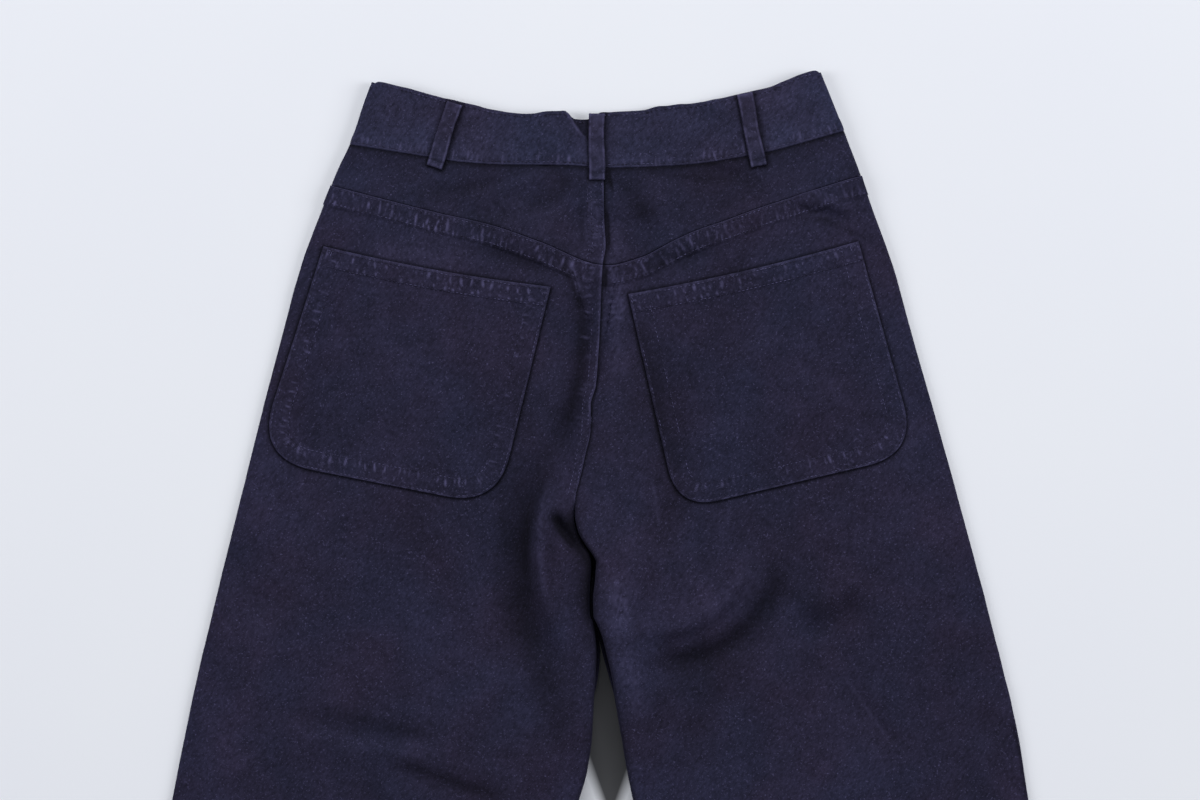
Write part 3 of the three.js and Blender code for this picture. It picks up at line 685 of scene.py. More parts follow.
def twill_material(name, colour, rub_and_highlight=0.55, contrast=1.0):
    """Washed cotton twill: mottled dye, fine pale flecks along the twill line, worn ridges, painted
    highlights on fold crests and painted shade.
    """
    material, tree, cloth, where = new_material(name, 0.9, 0.1)
    cloth.inputs["Sheen Weight"].default_value = 0.05
    cloth.inputs["Sheen Roughness"].default_value = 0.5
    cloth.inputs["Sheen Tint"].default_value = srgb(*SHEEN)

    patches = noise_fac(tree, where, 8, 3)
    clouds = noise_fac(tree, where, 60, 4, 0.6)
    flecks = noise_fac(tree, where, 500, 3, 0.65, TWILL_DIAGONAL, (1, 0.5, 1))
    points = noise_fac(tree, where, 640, 2, 0.6)
    hue = noise_fac(tree, where, 14, 2)

    span = 0.1 * contrast
    tone = ramp(tree, patches, 0.3, 0.7, 1 - span, 1 + span)
    cloud = ramp(tree, clouds, 0.3, 0.7, 1 - span, 1 + span)
    fleck = ramp(tree, flecks, 0.3, 0.75, 1 - 2 * span, 1 + 2.6 * span)
    speck = ramp(tree, points, 0.6, 0.78, 0.0, 0.45)
    tone = math_node(tree, "MULTIPLY", tone, cloud)
    tone = math_node(tree, "MULTIPLY", tone, fleck)
    warm, cool = (
        tuple(c * k for c, k in zip(srgb(*colour), dye)) + (1.0,) for dye in (WARM_DYE, COOL_DYE)
    )
    tint = blend(tree, "MIX", ramp(tree, hue, 0.35, 0.65, 0, 1), warm, cool)
    dyed = blend(tree, "MULTIPLY", 1.0, tint, tone)
    flecked = blend(tree, "MIX", speck, dyed, srgb(*WORN_AND_HIGHLIGHT))

    # Wear and painted highlights mix in the pale colour, read from their attribute
    wear_and_highlight = put(tree, "ShaderNodeAttribute", attribute_name="wear_and_highlight").outputs["Fac"]
    rubbed_and_highlit = math_node(tree, "MULTIPLY", wear_and_highlight, rub_and_highlight)
    ridged = blend(tree, "MIX", rubbed_and_highlit, flecked, srgb(*WORN_AND_HIGHLIGHT))
    # Painted shade: the shade attribute darkens the colour, down to DEEPEST_SHADE at its darkest
    shade = put(tree, "ShaderNodeAttribute", attribute_name="shade").outputs["Fac"]
    kept = ramp(tree, shade, 0, 1, 1, DEEPEST_SHADE)
    tree.links.new(blend(tree, "MULTIPLY", 1.0, ridged, kept), cloth.inputs["Base Color"])

    weave = noise_fac(tree, where, 1300, 2, 0.6, TWILL_DIAGONAL, (1, 0.35, 1))
    pile = noise_fac(tree, where, 330, 3, 0.65)
    height = math_node(tree, "ADD", weave, pile)
    bump = put(tree, "ShaderNodeBump", {"Strength": 0.4, "Distance": 0.0005, "Height": height})
    tree.links.new(bump.outputs[0], cloth.inputs["Normal"])
    return material


def thread_material():
    material, tree, thread, where = new_material("navy_thread", 0.8, 0.15)
    worn = ramp(tree, noise_fac(tree, where, 120, 1), 0.4, 0.65, 0, 1)
    colour = blend(tree, "MIX", worn, srgb(*THREAD_NEW), srgb(*THREAD_WORN))
    tree.links.new(colour, thread.inputs["Base Color"])
    return material


# Cloth of each material slot of the record
TWILLS = {
    "leg_twill": twill_material("leg_twill", (35.6, 33.9, 53.4), contrast=1.8),
    "yoke_twill": twill_material("yoke_twill", (34.6, 33.6, 52.8), contrast=1.7),
    "band_twill": twill_material("band_twill", (41.0, 41.0, 62.5), rub_and_highlight=0.5, contrast=2.0),
    "pocket_twill": twill_material("pocket_twill", (34.8, 33.5, 53.0), contrast=1.8),
    "loop_twill": twill_material("loop_twill", (39.5, 38.5, 58.5), rub_and_highlight=0.6, contrast=1.5),
}
THREAD = thread_material()


# Camera, light and floor

SENSOR_WIDTH = 36
CLOTH_LEVEL = 8
FLOOR_REACH = 12000
FLOOR_MOTTLE = 3
LIGHT_AIM = (0, 0.3, 0)
LIGHTS = {
    "softbox_top": dict(place=(0.0, 4.6, 3.6), size=(4.4, 2.0), watts=224),
    "softbox_left": dict(place=(-4.4, 0.2, 3.2), size=(1.8, 3.4), watts=94),
    "softbox_right": dict(place=(4.4, 0.2, 3.2), size=(1.8, 3.4), watts=110),
}
WORLD_COLOUR = (0.93, 0.95, 1.0, 1)
WORLD_STRENGTH = 0.15
GAP_SHADOW = dict(
    middle=8.5, apex=-330, widening=0.36, softness=9, fades_at=200, ends_at=250, dark=0.93
)


def set_camera():
    data = bpy.data.cameras.new("camera")
    data.sensor_width = SENSOR_WIDTH
    data.lens = data.sensor_width * (CAMERA_HEIGHT - CLOTH_LEVEL) / PHOTO_WIDTH
    camera = bpy.data.objects.new("camera", data)
    camera.location = to_frame((0, 0, CAMERA_HEIGHT))
    bpy.context.scene.collection.objects.link(camera)
    bpy.context.scene.camera = camera


def gap_shadow(tree, where):
    """Shadow of both legs on the floor between them: a soft wedge, darkest at the crotch."""
    place = put(tree, "ShaderNodeSeparateXYZ", {"Vector": where}).outputs
    apex = (GAP_SHADOW["apex"] + shift_y) * MM
    above = math_node(tree, "SUBTRACT", place["Y"], apex)
    half = math_node(tree, "MULTIPLY", above, GAP_SHADOW["widening"])
    off = math_node(tree, "SUBTRACT", place["X"], GAP_SHADOW["middle"] * MM)
    away = math_node(tree, "ABSOLUTE", off, 0)
    beyond = math_node(tree, "SUBTRACT", away, half)
    across = ramp(tree, beyond, 0, GAP_SHADOW["softness"] * MM, GAP_SHADOW["dark"], 0)
    below_top = ramp(tree, above, GAP_SHADOW["ends_at"] * MM, GAP_SHADOW["fades_at"] * MM, 0, 1)
    return math_node(tree, "MULTIPLY", across, below_top)


def add_floor():
    corners = [(-1, -1), (1, -1), (1, 1), (-1, 1)]
    points = [(x * FLOOR_REACH, y * FLOOR_REACH, 0) for x, y in corners]
    floor = write_mesh("floor", points, [(0, 1, 2, 3)])
    material, tree, surface, where = new_material("floor_board", 0.9, 0.1)
    tint = blend(tree, "MIX", noise_fac(tree, where, FLOOR_MOTTLE), srgb(*FLOOR_COOL), srgb(*FLOOR_PALE))
    shaded = blend(tree, "MIX", gap_shadow(tree, where), tint, srgb(*FLOOR_SHADOW))
    tree.links.new(shaded, surface.inputs["Base Color"])
    floor.data.materials.append(material)


def light_scene():
    world = bpy.data.worlds.new("studio")
    bpy.context.scene.world = world
    world.use_nodes = True
    background = world.node_tree.nodes["Background"]
    background.inputs["Color"].default_value = WORLD_COLOUR
    background.inputs["Strength"].default_value = WORLD_STRENGTH
    for name, light in LIGHTS.items():
        data = bpy.data.lights.new(name, "AREA")
        data.shape = "RECTANGLE"
        data.size, data.size_y = light["size"]
        data.energy = light["watts"]
        lamp = bpy.data.objects.new(name, data)
        lamp.location = light["place"]
        toward = Vector(LIGHT_AIM) - Vector(light["place"])
        lamp.rotation_euler = toward.to_track_quat("-Z", "Y").to_euler()
        bpy.context.scene.collection.objects.link(lamp)
    bpy.context.scene.view_settings.view_transform = "Standard"


# Panels

SIDE_NAMES = {-1: "left", 1: "right"}
# Depth of the felled seam along the seat, on the left panel
SEAT_FELL = table(
    "y width",
    (190, 13.6), (134, 13.6), (122, 16), (116, 26), (106, 27), (101, 23.4), (93, 19.8), (83, 17),
    (76, 14.4), (70, 11.8), (62, 8), (-92, 8),
)
seat_fell = curve(SEAT_FELL, "y", "width")
# Rows of points down a leg: the level that each section ends at, and how many rows it takes
FINE_TOP = (50, 48)
BACK_SECTIONS = [(CROTCH_OPEN_Y, 72), (CROTCH_SHUT_Y, 9), (-320, 96), (-795, 84)]
FRONT_SECTIONS = [(CROTCH_OPEN_Y, 45), (CROTCH_SHUT_Y, 5), (-320, 35), (-795, 50)]
BACK_LEG_COLUMNS = 254
FRONT_LEG_COLUMNS = 59
YOKE_COLUMNS = 221
BACK_BAND_COLUMNS = 392
FRONT_BAND_COLUMNS = 109
YOKE_ROWS = 61
BACK_BAND_ROWS = 46
FRONT_BAND_ROWS = 22
GAP_COVER_END_Y = -236
GAP_COVER_FADE = 50
GAP_COVER_SEAM = 0.1


def side_wall(side, cloth):
    return lambda y: side_edge[side](y) - side * cloth / 2


def centre_seam(seam, side):
    def edge(y):
        sewn = seam(y) + side * SEAM_GAP / 2
        cut = leg_edge[side](y) + side * TWILL / 2
        return sewn + (cut - sewn) * leg_shut(y)

    return edge


def gap_cover(y):
    """Where the front's inner leg bulges across the gap below the crotch, from 0 to 1."""
    return np.clip((y - GAP_COVER_END_Y) / GAP_COVER_FADE, 0, 1) * leg_shut(y)


def front_centre_seam(side):
    sewn = centre_seam(front_seam, side)

    def edge(y):
        middle = (leg_edge[-1](y) + leg_edge[1](y)) / 2 + side * GAP_COVER_SEAM
        return sewn(y) + (middle - sewn(y)) * gap_cover(y)

    return edge


def sewn_above(seam):
    return lambda x: seam(x) + SEAM_GAP / 2


def sewn_below(seam):
    return lambda x: seam(x) - SEAM_GAP / 2


def leg_top(top, seam):
    return float(top(seam(top(0.0)))) - SEAM_GAP / 2


def back_leg(side):
    top = leg_top(yoke_seam, seat_seam)
    return panel_grid(
        back_height, FACES_UP, panel_columns(BACK_LEG_COLUMNS),
        leg_rows(top, [(top - FINE_TOP[0], FINE_TOP[1])] + BACK_SECTIONS),
        side_wall(side, TWILL), centre_seam(seat_seam, side), sewn_below(yoke_seam), hem_line(side), leg_shut,
    )


def front_leg(side):
    return panel_grid(
        front_height, FACES_DOWN, panel_columns(FRONT_LEG_COLUMNS),
        leg_rows(leg_top(front_band_seam, front_seam), FRONT_SECTIONS),
        side_wall(side, TWILL), front_centre_seam(side), sewn_below(front_band_seam), hem_line(side),
        lambda y: leg_shut(y) * (1 - gap_cover(y)),
    )


def yoke_panel(side):
    return panel_grid(
        back_height, FACES_UP, panel_columns(YOKE_COLUMNS), np.linspace(0, 1, YOKE_ROWS),
        side_wall(side, TWILL), lambda y: seat_seam(y) + side * SEAM_GAP / 2,
        sewn_below(back_band_seam), sewn_above(yoke_seam), lambda y: 0 * y, even=True,
    )


def back_band():
    return panel_grid(
        back_height, FACES_UP, panel_columns(BACK_BAND_COLUMNS), np.linspace(0, 1, BACK_BAND_ROWS),
        side_wall(-1, BAND_TWILL), side_wall(1, BAND_TWILL),
        lambda x: back_waist(x) + 0.4 * lattice_noise(x, 0 * x, 9, 29),
        sewn_above(back_band_seam), lambda y: 0 * y + 1, even=True,
    )


def front_band(side):
    return panel_grid(
        front_height if side < 0 else lapped_height, FACES_DOWN, panel_columns(FRONT_BAND_COLUMNS, False),
        np.linspace(0, 1, FRONT_BAND_ROWS), side_wall(side, BAND_TWILL), lambda y: 0 * y - side * LAP_HALF,
        front_waist, sewn_above(front_band_seam), even=True,
    )


# Painted shade, and wear with painted highlights, both from 0 to 1

FOLD_SHADE_DEPTH = 14
FOLD_SHADE_MOST = 0.3
SHADE_UNDER_EDGE = 1.5
LOOP_SHADE = dict(right=3.4, left=1.8, dark=0.8)
POCKET_SHADE = dict(width=2.1, dark=0.95, reach=8, points=130)
FAR_OFF = 50.0
ROUND_DROP = 0.45
YOKE_SPANS = {-1: (-215, 5), 1: (5, 212)}
BAND_SPAN = (-204, 200)
WAIST_SPAN = (-184, 178)
SEAT_SPAN = (190, -90)


def valley_shade(x, y):
    """Painted shade in the hollows and at the bottom of the folds."""
    return np.clip(-fold_heights(x, y) / FOLD_SHADE_DEPTH, 0, FOLD_SHADE_MOST) + stroke_sum(HOLLOWS, x, y)


def contact(distance, width, strength):
    """Shade beside a piece that lies on the cloth, from the distance outside its edge."""
    return strength * bell(np.maximum(distance, 0), 0, width) * (distance > -SHADE_UNDER_EDGE)


def box_distance(x, y, top, foot, width):
    """Distance outside a strip that runs between two points."""
    top, foot = np.array(top, float), np.array(foot, float)
    run = foot - top
    length = np.linalg.norm(run)
    run /= length
    along = (x - top[0]) * run[0] + (y - top[1]) * run[1]
    across = -(x - top[0]) * run[1] + (y - top[1]) * run[0]
    beyond = np.maximum(np.abs(along - length / 2) - length / 2, 0)
    return np.hypot(beyond, np.maximum(np.abs(across) - width / 2, 0)), across


def loop_contact(x, y):
    """Shade beside the back belt loops, wider on the right."""
    total = 0 * x
    for name, (top, foot) in BELT_LOOPS.items():
        if name.startswith("back"):
            distance, across = box_distance(x, y, top, foot, LOOP_WIDTH)
            width = np.where(across > 0, LOOP_SHADE["right"], LOOP_SHADE["left"])
            total = np.maximum(total, LOOP_SHADE["dark"] * bell(distance, 0, width))
    return total


def pocket_contact(side, x, y):
    """Shade along the edge of a pocket, on the leg that carries it."""
    plan = pocket_plan(POCKETS[SIDE_NAMES[side]])
    outline = np.concatenate([plan[0], plan[1:, -1], plan[-1, ::-1], plan[::-1, 0]])
    path = evenly(outline, POCKET_SHADE["points"])
    low, high = path.min(0) - POCKET_SHADE["reach"], path.max(0) + POCKET_SHADE["reach"]
    near = (x > low[0]) & (x < high[0]) & (y > low[1]) & (y < high[1])
    distance = np.full(x.shape, FAR_OFF)
    distance[near] = np.abs(along_path(path, x[near], y[near])[1])
    return POCKET_SHADE["dark"] * bell(distance, 0, POCKET_SHADE["width"])


def gap_shade(side, x, y):
    """Painted shade on the leg that passes under the other one at the crotch."""
    inward = (x - leg_edge[side](y)) * side
    if side > 0:
        return 0.5 * bell(inward, 0, 4) * leg_shut(y)
    stretch = smooth(-80, -105, y) * smooth(-215, -150, y)
    return (0.85 * bell(inward, 0, 11) * stretch + 0.3 * bell(inward, 0, 4)) * leg_shut(y)


def patchy(x, y):
    """Unevenness of the wear along a seam."""
    broad, fine = lattice_noise(x, y, 22, 19), lattice_noise(x, y, 4, 20)
    return np.clip(0.75 + 0.55 * broad + 0.35 * fine, 0.1, 1.5)


def faded(ripple, gain, start, most):
    """Wear on the tops of the ripples, in proportion to their height and up to a limit."""
    return np.clip(ripple * gain - start, 0, most)


def rubs_and_crest_highlights(x, y):
    """Wear of the rubbed places and painted highlights on fold crests, speckled as the high threads of the
    twill fade first.
    """
    speckle = 1 + 0.7 * lattice_noise(x, y, 3, 23) + 1.1 * lattice_noise(x, y, 1.3, 24)
    return np.clip(stroke_sum(RUBS_AND_CREST_HIGHLIGHTS, x, y) * speckle, 0, 1)


def seat_side_relief(side, x, y):
    """The felled seam lies on the left panel: a raised strip along the seat seam."""
    if side > 0:
        return 0 * x, 0 * x
    inward = seat_seam(y) - x
    width = seat_fell(y)
    tongue = 1 + 0.9 * smooth(122, 108, y) * smooth(60, 84, y)
    lift = FELL_LIFT * tongue * smooth(width + 0.8, width - 0.4, inward)
    fold = lift * (1 - smooth(1.2, 0, inward) * 0.5)
    worn = 0.6 * bell(inward, 0.9, 0.7) * (1 - leg_shut(y)) * patchy(x, y)
    return fold, worn


def seat_puckers(row, side, x, y):
    """Ripples beside the seat seam, strongest where the yokes meet and weaker on the right."""
    along, _, length = along_path(seam_points(seat_seam, *SEAT_SPAN), x, y)
    strong = 0.45 + 0.55 * smooth(45, 75, y) * smooth(150, 112, y)
    share = 1 if side < 0 else 0.5
    return puckers(row, length, along, side * (x - seat_seam(y)), side) * strong * share


NOTCH_FOLD = np.array([(-27, 236), (-23, 225), (-15, 213.5), (-11, 209)], float)


def notch_relief(x, y):
    """The left end of the waistband is folded up beside the centre loop, over a low recess."""
    along, off, length = along_path(NOTCH_FOLD, x, y)
    near = smooth(length * 1.02, length * 0.7, along) * smooth(-60, -28, x)
    raised = 2.6 * smooth(-0.4, 0.8, -off) * near
    recess = -0.7 * smooth(0, 1, off) * (x < -6) * smooth(206, 211, y)
    crease = 0.8 * bell(-off, 1.2, 1.0) * near
    return raised + recess, crease, smooth(0, 1, off) * (x < -8) * smooth(206, 211, y)


HOLE_PITCH = 4.0


def needle_hole_shade(along, off, inward):
    """Painted shade in dots where a row of stitches goes down, one row at a distance from an edge."""
    beat = np.clip(np.cos(2 * np.pi * along / HOLE_PITCH), 0, 1)
    return 0.8 * beat * bell(off, inward, 0.7)


def rounding(margin, width):
    """How far the face drops towards an edge that is pressed round."""
    return -ROUND_DROP * (1 - np.clip(margin / width, 0, 1)) ** 2


# Pieces

surfaces = {}
TROUGH_HEIGHT = 0.3
TROUGH_SHADE = 0.22
YOKE_WORN_SHARE = {-1: 1.1, 1: 0.75}
# Painted shade on the front cloth where it shows in the gap below the crotch
GAP_PAINTED_SHADE = 0.95
GAP_PAINTED_SHADE_REACH = 60
NEEDLE_ROW_TOP = 3.2
NEEDLE_ROW_LOW = 3.0
NEEDLE_ROW_POCKET = 2.4


def make_surface(name, piece):
    """Keep a piece's faces, for the stitches to be dropped on."""
    mesh = piece.data
    mesh.calc_loop_triangles()
    points = [tuple(v.co) for v in mesh.vertices]
    triangles = [tuple(t.vertices) for t in mesh.loop_triangles]
    surfaces[name] = BVHTree.FromPolygons(points, triangles)


def make_cloth(node, slot, grid, cloth, facing, relief=0, wear_and_highlight=0, shade=0):
    looks = {"wear_and_highlight": np.clip(wear_and_highlight, 0, 1), "shade": np.clip(shade, 0, 1)}
    piece = shell(f"{node}_cloth", grid, cloth / 2 + relief, -cloth / 2, facing, looks)
    piece.data.materials.append(TWILLS[slot])
    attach(piece, "root")
    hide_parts(node)
    make_surface(node, piece)
    return piece


def make_leg(side):
    name = SIDE_NAMES[side]
    grid = back_leg(side)
    x, y = grid[..., 0], grid[..., 1]
    along, off, length = along_path(line_points(yoke_seam, *YOKE_SPANS[side]), x, y)
    below = -off
    fell = FELL_LIFT * smooth(FELL_DEPTH + 1, FELL_DEPTH, below)
    rows = [puckers(row, length, along, below, side) for row in ("yoke_upper", "yoke_lower", "yoke_across")]
    ripple = np.maximum.reduce(rows)
    on_fell = smooth(FELL_DEPTH + 3, FELL_DEPTH, below)
    # Painted shade in the troughs between the puckers on the felled strip below the yoke seam
    trough_shade = TROUGH_SHADE * np.clip(TROUGH_HEIGHT - ripple, 0, TROUGH_HEIGHT) / TROUGH_HEIGHT * on_fell
    seat_fold, seat_worn = seat_side_relief(side, x, y)
    ripple = np.maximum(ripple, seat_puckers("seat_leg", side, x, y))
    relief = np.maximum(fell, seat_fold) + ripple + crumple(x, y) * smooth(0, 10, below)
    wear_and_highlight = faded(ripple, gain=2.2, start=0.55, most=0.85) * YOKE_WORN_SHARE[side] * patchy(x, y)
    wear_and_highlight += seat_worn + 0.35 * smooth(1.4, 0.4, below)
    # Painted highlights on fold crests join the wear here
    wear_and_highlight += rubs_and_crest_highlights(x, y)
    shade = valley_shade(x, y) + gap_shade(side, x, y) + pocket_contact(side, x, y) + trough_shade
    if side > 0:
        shade += contact(x - seat_seam(y), width=1.7, strength=1.0) * (1 - leg_shut(y))
    make_cloth(f"back_{name}", "leg_twill", grid, TWILL, FACES_UP,
               relief, wear_and_highlight, shade)


def make_front(side):
    """Front leg panel, darkened with painted shade where it shows in the gap below the crotch."""
    name = SIDE_NAMES[side]
    grid = front_leg(side)
    piece = make_cloth(f"front_{name}", "leg_twill", grid, TWILL, FACES_DOWN)
    places = np.zeros(len(piece.data.vertices) * 3, np.float32)
    piece.data.vertices.foreach_get("co", places)
    places = places.reshape(-1, 3) / MM - (0, shift_y, 0)
    in_gap = bell(places[:, 0], 0, GAP_PAINTED_SHADE_REACH) * gap_cover(places[:, 1])
    piece.data.attributes["shade"].data.foreach_set("value", (in_gap * GAP_PAINTED_SHADE).astype(np.float32))


def make_yoke(side):
    name = SIDE_NAMES[side]
    grid = yoke_panel(side)
    x, y = grid[..., 0], grid[..., 1]
    fold, worn = seat_side_relief(side, x, y)
    ripple = seat_puckers("seat_yoke", side, x, y) * 0.6
    relief = fold + ripple + crumple(x, y) * 0.9
    below = -along_path(line_points(back_band_seam, *BAND_SPAN), x, y)[1]
    shade = valley_shade(x, y) + contact(below, width=2.4, strength=0.7)
    shade += contact(below, width=9, strength=0.25)
    shade += contact(y - yoke_seam(x), width=1.4, strength=0.5)
    shade += loop_contact(x, y)
    if side > 0:
        shade += contact(x - seat_seam(y), width=2.8, strength=1.0)
    # Painted highlights on fold crests join the wear here
    wear_and_highlight = worn + faded(ripple, gain=1, start=0.15, most=1) + rubs_and_crest_highlights(x, y)
    make_cloth(f"yoke_{name}", "yoke_twill", grid, TWILL, FACES_UP,
               relief, wear_and_highlight, shade)


def make_back_band():
    grid = back_band()
    x, y = grid[..., 0], grid[..., 1]
    along, off, length = along_path(line_points(back_band_seam, *BAND_SPAN), x, y)
    top_along, top_off, top_length = along_path(line_points(back_waist, *WAIST_SPAN), x, y)
    under_top = -top_off
    lower = puckers("band_lower", length, along, off)
    upper = puckers("band_upper", top_length, top_along, under_top)
    ripple = np.maximum(lower, upper)
    step, crease, recess = notch_relief(x, y)
    relief = ripple + crumple(x, y) * 0.8 + step
    relief = relief - 0.5 * smooth(1.2, 0, off) - 0.5 * smooth(1.2, 0, under_top)
    worn_edge = 0.4 * patchy(x, y) * bell(off, 0.9, 0.7)
    wear_and_highlight = faded(ripple, gain=1.4, start=0.35, most=1) * patchy(x, y) + worn_edge + crease * 0.6
    # Painted shade in the folds, in the recess beside the notch, beside the belt loops and in the needle
    # holes
    shade = valley_shade(x, y) + 0.7 * recess + loop_contact(x, y)
    shade += needle_hole_shade(top_along, under_top, NEEDLE_ROW_TOP)
    shade += 0.7 * needle_hole_shade(along, off, NEEDLE_ROW_LOW)
    make_cloth("waistband_back", "band_twill", grid, BAND_TWILL, FACES_UP,
               relief, wear_and_highlight, shade)


def make_front_band(side):
    node = f"waistband_front_{SIDE_NAMES[side]}"
    make_cloth(node, "band_twill", front_band(side), BAND_TWILL, FACES_DOWN)


CORNER_STEPS = 24
POCKET_ROWS = 166
POCKET_COLUMNS = 163
POCKET_TOP_POINTS = 60
POCKET_REST_POINTS = 200
POCKET_LIFT = 0.25
POCKET_HEM_LIFT = 0.7
POCKET_TURN_LIFT = 0.3
POCKET_TURN = (10.5, 9)
# How much weaker the puckers get down the sides of each pocket
POCKET_CALM = {-1: 0.15, 1: 0.55}


def corner_path(start, corner, end, reach):
    """Straight run to a corner, then a round bend onto the next side."""
    start, corner, end = (np.array(p[:2], float) for p in (start, corner, end))
    enter = corner + (start - corner) / np.linalg.norm(start - corner) * reach
    leave = corner + (end - corner) / np.linalg.norm(end - corner) * reach
    t = np.linspace(0, 1, CORNER_STEPS + 1)[:, None]
    bend = (1 - t) ** 2 * enter + 2 * t * (1 - t) * corner + t * t * leave
    return np.concatenate([[start], bend])


def path_lengths(path):
    return np.concatenate([[0], np.cumsum(np.linalg.norm(np.diff(path, axis=0), axis=1))])


def evenly(path, count):
    lengths = path_lengths(path)
    s = np.linspace(0, lengths[-1], count)
    return np.stack([np.interp(s, lengths, path[:, 0]), np.interp(s, lengths, path[:, 1])], axis=-1)


def pocket_plan(corners):
    """Plan of a pocket: rows between its two sides, each of which runs round its lower corner."""
    top_left, top_right, low_right, low_left = corners
    left = evenly(corner_path(top_left, low_left, low_right, low_left[2]), POCKET_ROWS)
    right = evenly(corner_path(top_right, low_right, low_left, low_right[2]), POCKET_ROWS)
    u = np.linspace(0, 1, POCKET_COLUMNS)[None, :, None]
    v = np.linspace(0, 1, POCKET_ROWS)[:, None, None]
    plan = left[:, None] * (1 - u) + right[:, None] * u
    plan[..., 1:2] += -4 * POCKET_DIP * u * (1 - u) * (1 - v) ** 2
    return plan


def pocket_paths(plan):
    """The open top edge of a pocket, and its sewn edge down one side and up the other."""
    return plan[0], np.concatenate([plan[:, 0], plan[-1, 1:-1], plan[::-1, -1]])


def make_pocket(side):
    name = SIDE_NAMES[side]
    plan = pocket_plan(POCKETS[name])
    x, y = plan[..., 0], plan[..., 1]
    under = back_height(x, y) + TWILL / 2 + SEAM_GAP
    z = under + POCKET_TWILL / 2 + crumple(x, y) + POCKET_LIFT
    grid = np.stack([x, y, z], axis=-1)
    top, rest = pocket_paths(plan)
    top_along, top_off, top_length = along_path(evenly(top, POCKET_TOP_POINTS), x, y)
    rest_along, rest_off, rest_length = along_path(evenly(rest, POCKET_REST_POINTS), x, y)
    below, inward = np.abs(top_off), np.abs(rest_off)
    upper = [puckers(row, top_length, top_along, below, side) for row in ("pocket_top", "pocket_hem")]
    border = [puckers(row, rest_length, rest_along, inward, side) for row in ("pocket_edge", "pocket_inner")]
    sides = 1 - POCKET_CALM[side] * smooth(175, 120, below)
    ripple = np.maximum(np.maximum(*upper), np.maximum(*border) * smooth(2, 12, below) * sides)
    hem = POCKET_HEM_LIFT * smooth(POCKET_HEM + 0.8, POCKET_HEM - 0.2, below)
    turned = POCKET_TURN_LIFT * smooth(*POCKET_TURN, inward)
    margin = np.minimum(below, inward)
    relief = ripple + np.maximum(hem, turned) + rounding(margin, 1.0)
    dashes = np.clip(0.7 + lattice_noise(x, y, 3, 26), 0.1, 1.4)
    wear_and_highlight = faded(ripple, gain=2.5, start=0.6, most=0.85) * patchy(x, y)
    wear_and_highlight += 0.42 * dashes * bell(margin, 0.6, 0.7)
    shade = valley_shade(x, y) + 0.5 * needle_hole_shade(top_along, below, NEEDLE_ROW_POCKET)
    make_cloth(f"pocket_{name}", "pocket_twill", grid, POCKET_TWILL, FACES_UP,
               relief, wear_and_highlight, shade)
    return plan


LOOP_ROWS = 61
LOOP_COLUMNS = 22


def make_belt_loop(name):
    top, foot = (np.array(end, float) for end in BELT_LOOPS[name])
    back = name.startswith("back")
    facing = FACES_UP if back else FACES_DOWN
    share = np.linspace(0, 1, LOOP_ROWS)[:, None]
    across = np.linspace(-0.5, 0.5, LOOP_COLUMNS)[None, :]
    length = np.linalg.norm(foot - top)
    run = (foot - top) / length
    wide = LOOP_WIDTH * (1 + 0.05 * np.sin(5 * share + top[0]) * np.sin(np.pi * share))
    sway = 0.6 * np.sin(np.pi * share) * np.sin(4 * share + top[0])
    x = top[0] + (foot[0] - top[0]) * share - run[1] * (across * wide + sway)
    y = top[1] + (foot[1] - top[1]) * share + run[0] * (across * wide + sway)
    base = back_height(x, y) if back else np.where(x > 0, lapped_height(x, y), front_height(x, y))
    lift = BAND_TWILL / 2 + LOOP_SEAT + LOOP_TWILL / 2 + LOOP_BOW * np.sin(np.pi * share) ** 0.7
    grid = np.stack([x, y, base + facing * (lift + 0 * x)], axis=-1)
    rim = (0.5 - np.abs(across)) * LOOP_WIDTH
    ends = np.minimum(share, 1 - share) * length
    relief = 0.35 * bell(rim, 1.3, 0.8) + 0.25 * bell(ends, 2, 1.2)
    # Bar tack: a shallow dent near the foot, darkened with painted shade on the back loops
    bar = bell((1 - share) * length, 5.5, 0.8)
    if back:
        relief = relief + rounding(np.minimum(rim, ends), 0.9) + 0.6 * crumple(3 * x, 3 * y) - 0.5 * bar
    else:
        relief = 0
    worn = 0.45 * bell(rim, 1.2, 0.7) + 0.3 * bell(ends, 1, 1.5)
    wear_and_highlight = worn * patchy(2 * x, 2 * y) + 0.25 * lattice_noise(x, y, 4, 8)
    make_cloth(f"belt_loop_{name}", "loop_twill", grid, LOOP_TWILL, facing,
               relief, wear_and_highlight, 0.55 * bar * back + 0 * x)


# Stitches

STITCH_SIDES = 5
STITCH_RINGS = ((0.2, 0.8), (0.5, 1.0), (0.8, 0.8))
STITCH_SINK = 0.15
STITCH_PITCH = 3.4
BAND_PITCH = 3.5
STITCH_SHARE = 0.68
STITCH_SEED = 5
STEEPEST_STITCH = 1.5
THREAD_RADIUS = 0.42
DROP_FROM = 60
BAR_TACK_ROWS = 5
BAR_TACK = dict(inward=2.4, below=2.5, pitch=0.9, lean=0.7, length=6.0)
# How far rows of stitches lie from an edge or a seam, and the spans that they run over
BAND_INSET = 2.6
YOKE_INSETS = (2.0, 14.0)
SEAT_STITCHES = (((74, -78), (1.8, 6.6)), ((176, 110), (1.8, 10.5, 13.2)))
SEAT_CROSS_LEVELS = (160, 137, 134.5)
POCKET_SIDE_INSETS = (1.8, 15.2)
POCKET_TOP_INSETS = (2.2, 15.2)


def drop(names, x, y):
    """Height of the topmost of some surfaces at a place of the plan, or nothing."""
    start = Vector(to_frame((x, y, DROP_FROM)))
    hits = [surfaces[name].ray_cast(start, Vector((0, 0, -1)))[0] for name in names]
    return max((hit.z / MM for hit in hits if hit), default=None)


